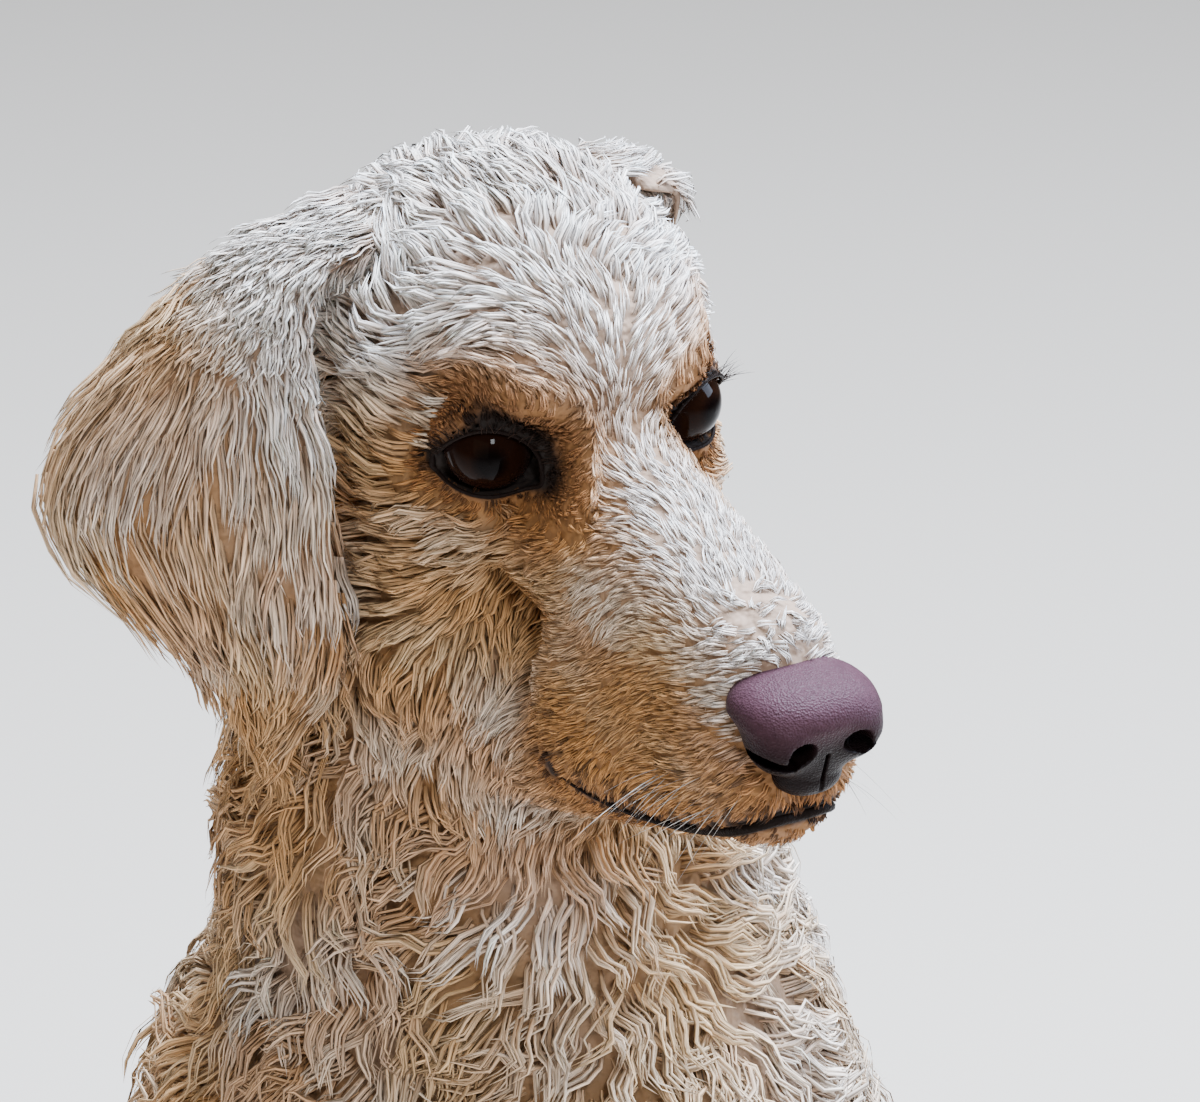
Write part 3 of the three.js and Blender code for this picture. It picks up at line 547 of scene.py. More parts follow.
# Meshes
def make_mesh(name, points, faces, smooth=True):
    """A mesh object from points in model millimetres and one array of faces, or several."""
    groups = faces if isinstance(faces, list) else [faces]
    mesh = bpy.data.meshes.new(name)
    sizes = np.concatenate([np.full(len(g), g.shape[1]) for g in groups])
    loops = np.concatenate([g.ravel() for g in groups])
    mesh.vertices.add(len(points))
    mesh.vertices.foreach_set("co", ((points - SHIFT) * MM).astype(np.float32).ravel())
    mesh.loops.add(len(loops))
    mesh.loops.foreach_set("vertex_index", loops.astype(np.int32))
    mesh.polygons.add(len(sizes))
    starts = np.concatenate([[0], np.cumsum(sizes)[:-1]])
    mesh.polygons.foreach_set("loop_start", starts.astype(np.int32))
    mesh.polygons.foreach_set("use_smooth", np.full(len(sizes), smooth))
    mesh.update(calc_edges=True)
    piece = bpy.data.objects.new(name, mesh)
    bpy.context.scene.collection.objects.link(piece)
    return piece


def paint(piece, colours):
    """Stores a colour for each point of a mesh."""
    layer = piece.data.attributes.new("tint", "FLOAT_COLOR", "POINT")
    data = np.ones((len(colours), 4), np.float32)
    data[:, :3] = colours
    layer.data.foreach_set("color", data.ravel())


def put(piece, material, nodes=()):
    piece.data.materials.append(material)
    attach(piece, "root")
    if nodes:
        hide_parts(*nodes)
    return piece


def new_material(name, roughness, specular=None, colour=None):
    material = bpy.data.materials.new(name)
    material.use_nodes = True
    shader = material.node_tree.nodes["Principled BSDF"]
    shader.inputs["Roughness"].default_value = roughness
    if specular is not None:
        shader.inputs["Specular IOR Level"].default_value = specular
    if colour is not None:
        shader.inputs["Base Color"].default_value = (*colour, 1)
    return material, material.node_tree, shader


def scaled_tint(tree, shader, noise, noise_range, scale_range):
    """Colours a shader with the stored tint, scaled by a noise."""
    tint = tree.nodes.new("ShaderNodeAttribute")
    tint.attribute_name = "tint"
    spread = tree.nodes.new("ShaderNodeMapRange")
    spread.inputs["From Min"].default_value, spread.inputs["From Max"].default_value = noise_range
    spread.inputs["To Min"].default_value, spread.inputs["To Max"].default_value = scale_range
    tree.links.new(noise.outputs["Fac"], spread.inputs["Value"])
    scale = tree.nodes.new("ShaderNodeVectorMath")
    scale.operation = "SCALE"
    tree.links.new(tint.outputs["Color"], scale.inputs[0])
    tree.links.new(spread.outputs["Result"], scale.inputs["Scale"])
    tree.links.new(scale.outputs["Vector"], shader.inputs["Base Color"])


def tinted(name, strength, size, roughness, specular=0.35):
    """A finish whose colour is the stored one, broken up by fine noise."""
    material, tree, shader = new_material(name, roughness, specular)
    noise = tree.nodes.new("ShaderNodeTexNoise")
    noise.inputs["Scale"].default_value = size
    noise.inputs["Detail"].default_value = 4
    place = tree.nodes.new("ShaderNodeTexCoord")
    tree.links.new(place.outputs["Object"], noise.inputs["Vector"])
    scaled_tint(tree, shader, noise, (0, 1), (1 - strength, 1 + strength))
    return material, tree, shader


def add_bump(tree, shader, size, depth, kind="ShaderNodeTexNoise"):
    texture = tree.nodes.new(kind)
    texture.inputs["Scale"].default_value = size
    place = tree.nodes.new("ShaderNodeTexCoord")
    tree.links.new(place.outputs["Object"], texture.inputs["Vector"])
    bump = tree.nodes.new("ShaderNodeBump")
    bump.inputs["Distance"].default_value = depth
    out = texture.outputs["Fac"] if "Fac" in texture.outputs else texture.outputs["Distance"]
    tree.links.new(out, bump.inputs["Height"])
    tree.links.new(bump.outputs["Normal"], shader.inputs["Normal"])


def streaked(name, roughness, contrast, depth):
    """A finish for locks of hair: the stored colour in fine streaks that run along each lock."""
    material, tree, shader = new_material(name, roughness, 0.15)
    strand = tree.nodes.new("ShaderNodeAttribute")
    strand.attribute_name = "strand"
    stretch = tree.nodes.new("ShaderNodeVectorMath")
    stretch.operation = "MULTIPLY"
    stretch.inputs[1].default_value = STREAK_SCALE
    tree.links.new(strand.outputs["Vector"], stretch.inputs[0])
    noise = tree.nodes.new("ShaderNodeTexNoise")
    noise.inputs["Scale"].default_value = 1.0
    noise.inputs["Detail"].default_value = 2.0
    tree.links.new(stretch.outputs["Vector"], noise.inputs["Vector"])
    scaled_tint(tree, shader, noise, (0.3, 0.7), (1 - contrast, 1 + 0.5 * contrast))
    bump = tree.nodes.new("ShaderNodeBump")
    bump.inputs["Distance"].default_value = depth
    bump.inputs["Strength"].default_value = 0.8
    tree.links.new(noise.outputs["Fac"], bump.inputs["Height"])
    tree.links.new(bump.outputs["Normal"], shader.inputs["Normal"])
    return material


def mottled(name, roughness, size, colours):
    """A finish that runs between two colours by noise."""
    material, tree, shader = new_material(name, roughness)
    noise = tree.nodes.new("ShaderNodeTexNoise")
    noise.inputs["Scale"].default_value = size
    blend = tree.nodes.new("ShaderNodeValToRGB")
    for element, colour in zip(blend.color_ramp.elements, colours):
        element.color = (*colour, 1)
    tree.links.new(noise.outputs["Fac"], blend.inputs["Fac"])
    tree.links.new(blend.outputs["Color"], shader.inputs["Base Color"])
    return material


STREAK_SCALE = (2.6, 0.10, 1.0)  # noise cells to the millimetre across a lock, along it, and between locks
skin_finish, skin_tree, skin_shader = tinted("coat_skin", 0.25, 260, 0.8)
add_bump(skin_tree, skin_shader, 170, 0.004)
fur_finish = streaked("coat_hair", 0.75, 0.6, 0.0005)

# Skin of body and head, parted under the coat of the neck
ABOVE_FLOOR = 0.6  # least height of skin and hair
CUT_AT = from_head((-67, 0, -52))
CUT_NORMAL = HEAD_TURN @ unit(np.array([-0.675, 0, -0.737]))
BODY_CELL = 5.0
HEAD_CELL = 1.5
HEAD_LOW, HEAD_HIGH = np.array((-95, -275, 600)), np.array((120, 10, 825))
body_points, body_faces = surface_of(body_field, (-170, -190, -6), (170, 500, 760), BODY_CELL)
head_points, head_faces = surface_of(face_field, HEAD_LOW, HEAD_HIGH, HEAD_CELL)


def kept(points, faces, keep):
    """The faces whose corners are all kept, with the points that they use."""
    faces = faces[keep[faces].all(1)]
    used = np.unique(faces)
    index = np.zeros(len(points), np.int64)
    index[used] = np.arange(len(used))
    return points[used], index[faces]


def beyond_cut(p):
    """Distance behind the plane where the skins of head and body lap, in millimetres."""
    return (p - CUT_AT) @ CUT_NORMAL


body_points, body_faces = kept(body_points, body_faces, beyond_cut(body_points) > -4)
inside_low = head_points > HEAD_LOW + 2 * HEAD_CELL
inside_box = (inside_low & (head_points < HEAD_HIGH - 2 * HEAD_CELL)).all(1)
head_points, head_faces = kept(head_points, head_faces, (beyond_cut(head_points) < 6) & inside_box)
body_points[:, 2] = np.maximum(body_points[:, 2], ABOVE_FLOOR)


# Ears: a sheet between a front and a back edge, with two faces
def smooth_curve(points, t):
    """Centripetal curve through points, at shares t of their count."""
    points = np.array(points, float)
    n = len(points)
    place = np.clip(t, 0, 1) * (n - 1)
    i = np.minimum(np.floor(place).astype(int), n - 2)
    w = place - i
    padded = np.vstack([2 * points[0] - points[1], points, 2 * points[-1] - points[-2]])
    p0, p1, p2, p3 = (padded[i + k] for k in range(4))
    spans = ((p0, p1), (p1, p2), (p2, p3))
    d0, d1, d2 = (np.maximum(np.linalg.norm(b - a, axis=1) ** 0.5, 1e-4)[:, None] for a, b in spans)
    t1 = ((p1 - p0) / d0 - (p2 - p0) / (d0 + d1) + (p2 - p1) / d1) * d1
    t2 = ((p2 - p1) / d1 - (p3 - p1) / (d1 + d2) + (p3 - p2) / d2) * d1
    w = w[:, None]
    return p1 + t1 * w + (-3 * p1 + 3 * p2 - 2 * t1 - t2) * w**2 + (2 * p1 - 2 * p2 + t1 + t2) * w**3


def ear_point(side, s, t):
    """Middle of the ear flap in head axes: s from root to tip, t from front edge to back edge."""
    edge = smooth_curve(EAR_FRONT, s)
    width = smooth_curve(EAR_BACK, s) - edge
    turn_in, back, inward = EAR_POSE[side]
    edge = edge - np.array([back, inward, 0]) * ramp(s, 0, 0.5)[:, None]
    a = np.radians(turn_in) * ramp(s, 0, 0.3)
    cosine, sine = np.cos(a), np.sin(a)
    f, l, u = width.T
    width = np.stack([f * cosine - l * sine, f * sine + l * cosine, u], 1)
    outward = unit(np.stack([width[:, 1], -width[:, 0], 0 * s], 1))
    bulge = EAR["bulge"] * 4 * t * (1 - t) * np.sin(np.pi * np.clip(s + 0.1, 0, 1))
    p = edge + width * t[:, None] + outward * bulge[:, None]
    p[:, 1] *= side
    return p


def ear_frames(side, s, t):
    """Place on the flap in model axes, its outward normal, the way down it and the way across it."""
    h = 0.01
    at = from_head(ear_point(side, s, t))
    down = from_head(ear_point(side, s + h, t)) - from_head(ear_point(side, s - h, t))
    over = from_head(ear_point(side, s, t + h)) - from_head(ear_point(side, s, t - h))
    normal = unit(np.cross(over, down)) * side
    return at, normal, unit(down), unit(over)


EAR_SKIN = 0.35  # share of the flap's thickness that is skin


def make_ear(side):
    rows, columns = 44, 22
    s, t = np.meshgrid(np.linspace(0, 1, rows), np.linspace(0, 1, columns), indexing="ij")
    s, t = s.ravel(), t.ravel()
    at, normal, _, _ = ear_frames(side, s, t)
    thin = 1 - 0.8 * np.maximum(np.abs(2 * t - 1) ** 4, s**8)
    half = (EAR["thick"] * EAR_SKIN / 2 * thin)[:, None]
    points = np.vstack([at + normal * half, at - normal * half])
    i = np.arange(rows * columns).reshape(rows, columns)
    a, b, c, d = i[:-1, :-1].ravel(), i[:-1, 1:].ravel(), i[1:, 1:].ravel(), i[1:, :-1].ravel()
    outer = np.stack([a, b, c, d], 1)
    inner = outer[:, ::-1] + rows * columns
    border = np.concatenate([i[0, :-1], i[:-1, -1], i[-1, :0:-1], i[:0:-1, 0]])
    following = np.roll(border, -1)
    rim = np.stack([following, border, border + rows * columns, following + rows * columns], 1)
    faces = np.concatenate([outer, inner, rim])
    return points, faces if side < 0 else faces[:, ::-1]


def join(parts):
    points, faces, base = [], [], 0
    for p, f in parts:
        points.append(p)
        faces.append(f + base)
        base += len(p)
    return np.concatenate(points), np.concatenate(faces)


PAINTED_SKIN_SHADE = (0.55, 0.38)  # painted shade: the skin darkened beside the hair's roots, on the head and on the body, so that gaps between the locks read as shadow in the coat
skin_parts = [(body_points, body_faces), (head_points, head_faces), make_ear(1), make_ear(-1)]
skin_points, skin_faces = join(skin_parts)
skin = make_mesh("skin", skin_points, skin_faces)
# painted shade: the skin takes the roots' colour, darkened
paint(skin, coat_colour(skin_points)[1] * mix(*PAINTED_SKIN_SHADE, ramp(skin_points[:, 2], 640, 520)))
FLESH = ["head", "neck", "torso", "tail"]
for side_name in ("left", "right"):
    FLESH += [f"{n}_{side_name}" for n in ("ear", "foreleg", "forepaw", "thigh", "shank", "hock", "hindpaw")]
put(skin, skin_finish, FLESH)


# Hair: each lock follows a guide that is walked over the skin, with a few thin tapered strands round it
def patch_of(p, region):
    """Place of a root on an unwrap of the skin, with a cell of the square for each region."""
    q = to_head(p)
    if region == "head":
        u = np.arctan2(q[:, 1], q[:, 2] + 25) / (2 * math.pi) + 0.5
        v = (q[:, 0] + 130) / 260
        cell = (0, 0)
    elif region == "trunk":
        u = np.arctan2(p[:, 0], -(p[:, 1] - (250 - 0.5 * p[:, 2]))) / (2 * math.pi) + 0.5
        v = p[:, 2] / 740
        cell = (1, 0)
    else:
        side = (p[:, 0] > 0) * 0.5
        u = side + 0.5 * (np.arctan2(np.abs(p[:, 0]) - 90, p[:, 1]) / (2 * math.pi) + 0.5)
        v = p[:, 2] / 420
        cell = (0, 1)
    place = [(start + 0.02 + 0.96 * np.clip(share, 0, 1)) / 2 for start, share in zip(cell, (u, v))]
    return np.stack(place, 1)


PATCH = 0.003  # width of one tuft's patch on the unwrap
RIDGE = 0.3  # height of a lock beside its half-width


def strands(name, guide, settings, colours, places):
    """Builds flat, tapered locks round guides. guide: points, across and out, each (guides, rings, 3)."""
    radius, per_guide, width, taper, closing = settings
    points, across, out = guide
    guides, rings, _ = points.shape
    share = np.linspace(0, 1, rings)
    total = guides * per_guide
    angle = rng.uniform(0, 2 * math.pi, (guides, per_guide))
    away = np.sqrt(rng.uniform(0, 1, (guides, per_guide))) * radius[:, None]
    narrowing = (1 - closing * share)[None, None, :]
    sideways = (away * np.cos(angle))[:, :, None] * narrowing
    outwards = 0.45 * (away * np.sin(angle))[:, :, None] * narrowing * np.minimum(1, share * 3)
    stretch = rng.uniform(0.68, 1.08, (guides, per_guide))
    place = np.clip(share[None, None, :] * stretch[:, :, None], 0, 1) * (rings - 1)
    i = np.minimum(place.astype(int), rings - 2)
    w = (place - i)[..., None]
    row = np.arange(guides)[:, None, None]
    path, side, up = (a[row, i] * (1 - w) + a[row, i + 1] * w for a in (points, across, out))
    path = path + side * sideways[..., None] + up * outwards[..., None]
    path, side, up = (a.reshape(total, rings, 3) for a in (path, side, up))
    roll = rng.normal(0, 0.3, (total, 1, 1))
    side, up = side * np.cos(roll) + up * np.sin(roll), up * np.cos(roll) - side * np.sin(roll)
    wide = np.repeat(width, per_guide)[:, None] * taper[None, :] * rng.uniform(0.7, 1.3, (total, 1))
    wide = wide[:, :-1, None]
    ridge = path[:, :-1] + up[:, :-1] * wide * RIDGE
    left, right = path[:, :-1] - side[:, :-1] * wide, path[:, :-1] + side[:, :-1] * wide
    body = np.stack([left, right, ridge], 2).reshape(total, (rings - 1) * 3, 3)
    verts = np.concatenate([body, path[:, -1:]], 1)
    verts[:, :, 2] = np.maximum(verts[:, :, 2], ABOVE_FLOOR)
    count = verts.shape[1]
    tris = [(0, 2, 1)]
    for r in range(rings - 2):
        for k in range(3):
            a, b = 3 * r + k, 3 * r + (k + 1) % 3
            tris += [(a, b, b + 3), (a, b + 3, a + 3)]
    last = 3 * (rings - 2)
    tris += [(last + k, last + (k + 1) % 3, count - 1) for k in range(3)]
    faces = (np.arange(total)[:, None, None] * count + np.array(tris)[None]).reshape(-1, 3)
    tone, root = (np.repeat(c, per_guide, 0)[:, None, :] for c in colours)
    along = np.concatenate([np.repeat(share[:-1], 3), [1.0]])
    rising = np.clip(0.1 + 1.3 * along, 0, 1)[None, :, None]
    colour = (root + (tone - root) * rising) * rng.normal(1.0, 0.15, (total, 1, 1))
    piece = make_mesh(name, verts.reshape(-1, 3), faces)
    paint(piece, np.clip(colour.reshape(-1, 3), 0, 1))
    ring = np.concatenate([np.tile([-1.0, 1.0, 0.0], rings - 1), [0.0]])
    ran = np.concatenate([np.repeat(np.arange(rings - 1), 3), [rings - 1.0]]) / (rings - 1)
    length = np.linalg.norm(np.diff(path, axis=1), axis=2).sum(1)
    local = np.empty((total, count, 3), np.float32)
    local[:, :, 0] = ring * np.concatenate([np.repeat(wide[:, :, 0], 3, 1), wide[:, -1:, 0]], 1)
    local[:, :, 1] = ran * length[:, None]
    local[:, :, 2] = rng.uniform(0, 500, (total, 1))
    layer = piece.data.attributes.new("strand", "FLOAT_VECTOR", "POINT")
    layer.data.foreach_set("vector", local.ravel())
    patch = np.stack([ring * PATCH / 2, (along - 0.5) * PATCH], 1)
    uv = np.repeat(places, per_guide, 0)[:, None, :] + patch[None]
    layer = piece.data.uv_layers.new(name="OFBake")
    layer.data.foreach_set("uv", uv.reshape(-1, 2)[faces.ravel()].astype(np.float32).ravel())
    put(piece, fur_finish)


def walk(roots, field, length, rings, height, turn, wave, pitch, sunk=1.0):
    """Walks guides over the skin along the lie of the hair, rising to a height and waving."""
    p = roots.copy()
    share = np.linspace(0, 1, rings)
    phase = rng.uniform(0, 2 * math.pi, len(p)) * 0.35 + 2.2 * waves(roots, 24, 21)
    cosine, sine = np.cos(turn)[:, None], np.sin(turn)[:, None]
    points, across, out = [], [], []
    for i in range(rings):
        g = unit(gradient(field, p))
        t = lie_of(p)
        t = unit(t - g * (t * g).sum(1)[:, None])
        b = np.cross(g, t)
        t, b = t * cosine + b * sine, b * cosine - t * sine
        rise = height * (1 - (1 - share[i]) ** 2.2) - sunk * (share[i] == 0)
        fade = min(1.0, 2.5 * share[i])
        swing = phase + 2 * math.pi * share[i] * length / pitch
        at = p + g * (rise + 0.45 * wave * fade * np.cos(swing))[:, None]
        at = at + b * (wave * fade * np.sin(swing))[:, None]
        points.append(at)
        across.append(b)
        out.append(g)
        p = p + t * (length / (rings - 1))[:, None]
        p = p - g * field(p)[:, None]
    return tuple(np.stack(a, 1) for a in (points, across, out))


def roots_on(points, faces, gap, keep):
    """Evenly spread roots on a surface, no nearer to each other than the gap at their place."""
    tri = np.concatenate([faces[:, [0, 1, 2]], faces[:, [0, 2, 3]]])
    a, b, c = (points[tri[:, k]] for k in range(3))
    middle = (a + b + c) / 3
    share = np.linalg.norm(np.cross(b - a, c - a), axis=1) / 2 / gap(middle) ** 2 * keep(middle)
    total = int(2.6 * share.sum())
    pick = rng.choice(len(tri), total, p=share / share.sum())
    u, v = rng.uniform(0, 1, (2, total, 1))
    flip = (u + v) > 1
    u, v = np.where(flip, 1 - u, u), np.where(flip, 1 - v, v)
    tried = a[pick] + u * (b[pick] - a[pick]) + v * (c[pick] - a[pick])
    tried = tried[keep(tried) > 0]
    size = gap(tried)
    cell = float(size.max())
    taken, accepted = {}, []
    around = [(x, y, z) for x in (-1, 0, 1) for y in (-1, 0, 1) for z in (-1, 0, 1)]
    for n, ((x, y, z), limit) in enumerate(zip(tried.tolist(), (size**2).tolist())):
        cx, cy, cz = int(x // cell), int(y // cell), int(z // cell)
        near = (o for dx, dy, dz in around for o in taken.get((cx + dx, cy + dy, cz + dz), ()))
        if all((x - o[0]) ** 2 + (y - o[1]) ** 2 + (z - o[2]) ** 2 > limit for o in near):
            taken.setdefault((cx, cy, cz), []).append((x, y, z))
            accepted.append(n)
    return tried[accepted]


MOST = 190000  # triangles in one coat piece


def grow(label, guide, settings, colours, places):
    """Builds the locks of many guides in pieces that stay under the limit."""
    radius, per_guide, width, taper, closing = settings
    rings = guide[0].shape[1]
    step = MOST // (per_guide * (6 * (rings - 2) + 4))
    for n, start in enumerate(range(0, len(guide[0]), step)):
        part = slice(start, start + step)
        cut = (radius[part], per_guide, width[part], taper, closing)
        tints = tuple(c[part] for c in colours)
        strands(f"{label}_{n + 1}", tuple(a[part] for a in guide), cut, tints, places[part])


def near_eye(q):
    """Nearness to the lids' opening of the nearer eye: 1 on its edge, more outside."""
    d = np.full(len(q), 9.0)
    for s in (1, -1):
        centre, across, up, ahead = eye_axes(s)
        v = q - centre
        d = np.minimum(d, in_opening(v @ across, v @ up) + 2.5 * ramp(v @ ahead, -3, -10))
    return d


def is_free(p):
    """Where hair may root on the head: in front of the cut, not in the eyes, on the nose or in the mouth."""
    q = to_head(p)
    free = (near_eye(q) > 1.05) & (bare_nose(q) > -1.5) & (to_mouth(q) > 2.6)
    return (free & (beyond_cut(p) < 4)).astype(float)


COARSE = 1.0
rng = np.random.default_rng(7)


def shortness(q):
    """From 0, the full coat of the skull, to 1, the short hair of the muzzle and round the eyes."""
    return np.maximum(ramp(q[:, 0], -35, 25), ramp(near_eye(q), 3.2, 1.4))


# Head: short fur, finest on the muzzle and round the eyes, with single hairs over it
def head_gap(p):
    q = to_head(p)
    return COARSE * (2.9 - 1.1 * shortness(q) - 0.6 * ramp(near_eye(q), 1.9, 1.3))


def head_coat():
    roots = roots_on(head_points, head_faces, head_gap, is_free)
    q = to_head(roots)
    tight = shortness(q)
    close = np.maximum(ramp(near_eye(q), 2.2, 1.2), ramp(to_mouth(q), 12, 4))
    length = (15 - 7.5 * tight - 3.6 * close) * rng.uniform(0.8, 1.2, len(q))
    height = (6.6 - 4.7 * tight - 0.9 * close) * rng.uniform(0.55, 1.1, len(q))
    turn = 0.6 * waves(roots, 34, 11) * (1 - 0.55 * tight) + rng.normal(0, 0.15, len(q))
    turn += rng.normal(0, 1.7, len(q)) * ramp(np.linalg.norm(q - np.array(WHORL), axis=1), 14, 6)
    wave = (1.4 - 1.15 * tight) * rng.uniform(0.5, 1.3, len(q))
    wet = rng.uniform(0, 1, len(q)) < 0.25 * ramp(to_mouth(q), 22, 5) * ramp(q[:, 0], 10, 30)
    colours = tuple(np.where(wet[:, None], mix(c, DARK[None], 0.75), c) for c in coat_colour(roots))
    places = patch_of(roots, "head")
    for label, some, rings in (("coat_head", tight < 0.6, 4), ("coat_face", tight >= 0.6, 3)):
        guide = walk(roots[some], lidded, length[some], rings, height[some], turn[some], wave[some], 14.0)
        taper = np.interp(np.linspace(0, 1, rings), [0, 0.33, 0.67, 1], [0.8, 1.0, 0.75, 0])
        tints = tuple(c[some] for c in colours)
        short = tight[some]
        grow(label, guide, (2.2 - 0.9 * short, 6, 0.56 - 0.27 * short, taper, 0.3), tints, places[some])
        single = (2.6 - 1.2 * short, 1, 0.17 - 0.04 * short, taper, -0.2)
        grow(f"{label}_fine", guide, single, tints, places[some])


head_coat()


# Neck and chest: waved locks; the rest of the body has the same locks, fewer and wider
def seen(p):
    return ramp(p[:, 2], 478, 500) * ramp(-p[:, 1], -15, 15)


def curls(label, gap, keep, per_guide, width, rings, fine):
    roots = roots_on(body_points, body_faces, lambda p: np.full(len(p), COARSE * gap), keep)
    depth = coat_depth(roots)
    full = np.clip(depth / 9.0, 0.3, 1.1)
    n = len(roots)
    length = 30 * full * rng.uniform(0.75, 1.2, n)
    height = depth * rng.uniform(0.45, 1.1, n)
    turn = 0.6 * waves(roots, 48, 3) + rng.normal(0, 0.42, n)
    wave = 3.2 * full * rng.uniform(0.6, 1.3, n)
    guide = walk(roots, body_field, length, rings, height, turn, wave, 19.0, 2.0)
    guide[0][:, :, 2] = np.maximum(guide[0][:, :, 2], 1.5 + width)
    share = np.linspace(0, 1, rings)
    taper = 0.3 + 0.7 * np.sin(np.pi * np.clip(share * 0.85 + 0.2, 0, 1))
    places = np.where(roots[:, 2:] > 330, patch_of(roots, "trunk"), patch_of(roots, "legs"))
    colours = coat_colour(roots)
    wide = width * (0.5 + 0.5 * full)
    grow(label, guide, (0.95 * gap * full, per_guide, wide, taper, 0.3), colours, places)
    if fine:
        grow(f"{label}_fine", guide, (0.8 * gap * full, fine, 0.16 * wide, taper, 0.0), colours, places)


def on_chest(p):
    return (seen(p) > 0) * (beyond_cut(p) > -3.0)


def on_rest(p):
    return (seen(p) <= 0) * (p[:, 2] > 8.0) * (beyond_cut(p) > -3.0)


curls("coat_chest", 5.4, on_chest, 8, 0.66, 6, 1)
curls("coat_body", 12.0, on_rest, 5, 4.0, 5, 0)


# Ears: wavy hair that hangs down the flap, with a fringe along its edges
def ear_hair(side, name, gap):
    span, breadth = 150.0, 62.0
    wanted = int(2 * span * breadth / (gap * COARSE) ** 2)
    s, t = (np.arange(wanted) * 0.7548777 % 1.0), (np.arange(wanted) * 0.5698403 % 1.0)
    face = np.where(rng.uniform(0, 1, wanted) < 0.7, 1.0, -1.0)
    rings = 5
    s = 1.1 * s - 0.1
    length = 19.0 * rng.uniform(0.7, 1.2, wanted) * np.where(s > 0.75, 0.7, 1)
    turf = waves(np.stack([span * s, breadth * t, 40 * face], 1), 30, 9)
    phase = 1.2 * turf + rng.uniform(0, 2, wanted)
    lean = 0.22 * turf + rng.normal(0, 0.16, wanted)
    off_middle = 2 * t - 1
    edge = np.clip((np.abs(off_middle) - 0.72) / 0.28, 0, 1) * np.sign(off_middle)
    lean *= np.where(lean * off_middle > 0, 1 - 0.9 * np.clip(2 * np.abs(off_middle) - 0.8, 0, 1), 1)
    crest = rng.uniform(0.6, 1.15, wanted)
    points, across, out = [], [], []
    for i in range(rings):
        w = i / (rings - 1)
        si = s + length * w / span * np.cos(lean)
        at, normal, down, over = ear_frames(side, np.clip(si, 0, 1), np.clip(t, 0, 1))
        normal = normal * face[:, None]
        rise = 1.0 + 3.6 * crest * (1 - (1 - w) ** 2)
        swing = phase + 2 * math.pi * w * length / 15.0
        slide = length * w * np.sin(lean) + edge * 2.5 * w + 1.2 * min(1, 2 * w) * np.sin(swing)
        past = span * np.maximum(si - 1, np.minimum(si, 0))
        at = at + normal * rise[:, None] + down * past[:, None] + over * slide[:, None]
        points.append(at + normal * (0.8 * min(1, 2 * w) * np.cos(swing))[:, None])
        across.append(over)
        out.append(normal)
    guide = tuple(np.stack(a, 1) for a in (points, across, out))
    colours = coat_colour(guide[0][:, 0])
    taper = np.array([0.7, 1.0, 0.9, 0.6, 0.0])
    cell = 0.5 * np.stack([0.5 * (face > 0) + 0.5 * t, 0.5 * (side > 0) + 0.48 * s], 1)
    places = 0.52 + 0.92 * cell
    each = np.ones(wanted)
    grow(f"coat_ear_{name}", guide, (3.3 * each, 6, 0.52 * each, taper, 0.1), colours, places)
    grow(f"coat_ear_{name}_fine", guide, (3.0 * each, 1, 0.2 * each, taper, -0.2), colours, places)


ear_hair(1, "left", 6.0)
ear_hair(-1, "right", 3.2)


def single_hairs(label, path, across, out, colours, half_width, taper):
    """Single hairs along paths in head axes, with one row of across and out for each hair."""
    count, rings, _ = path.shape
    guide = [from_head(path)] + [np.repeat((v @ HEAD_TURN.T)[:, None], rings, 1) for v in (across, out)]
    settings = (np.full(count, 0.01), 1, np.full(count, half_width), np.array(taper), 0.0)
    tints = tuple(np.tile(c, (count, 1)) for c in colours)
    grow(label, tuple(guide), settings, tints, patch_of(guide[0][:, 0], "head"))


# Eyes, lids, nose, lips and claws
def tube(path, radii, out, sides=8, closed=True):
    """A tube round a path, with a radius at each of its points."""
    ahead = unit(np.roll(path, -1, 0) - np.roll(path, 1, 0) if closed else np.gradient(path, axis=0))
    side = unit(np.cross(ahead, out))
    up = np.cross(side, ahead)
    around = np.linspace(0, 2 * math.pi, sides, endpoint=False)
    ring = side[:, None] * np.cos(around)[None, :, None] + up[:, None] * np.sin(around)[None, :, None]
    points = (path[:, None] + ring * np.asarray(radii)[:, None, None]).reshape(-1, 3)
    i = np.arange(len(path) * sides).reshape(len(path), sides)
    a, d = (i, np.roll(i, -1, 0)) if closed else (i[:-1], i[1:])
    faces = np.stack([a, np.roll(a, -1, 1), np.roll(d, -1, 1), d], -1).reshape(-1, 4)
    return points, faces


CORNEA = {"height": 0.7, "spread": 0.55}  # millimetres, and radians from the eye's axis
IRIS_EDGE, PUPIL_EDGE = (9.4, 8.2), (4.6, 3.6)
EYE_WHITE = np.array([0.012, 0.006, 0.005])
IRIS_BROWN = np.array([0.010, 0.0035, 0.0018])
BLACK = np.array([0.002, 0.001, 0.001])


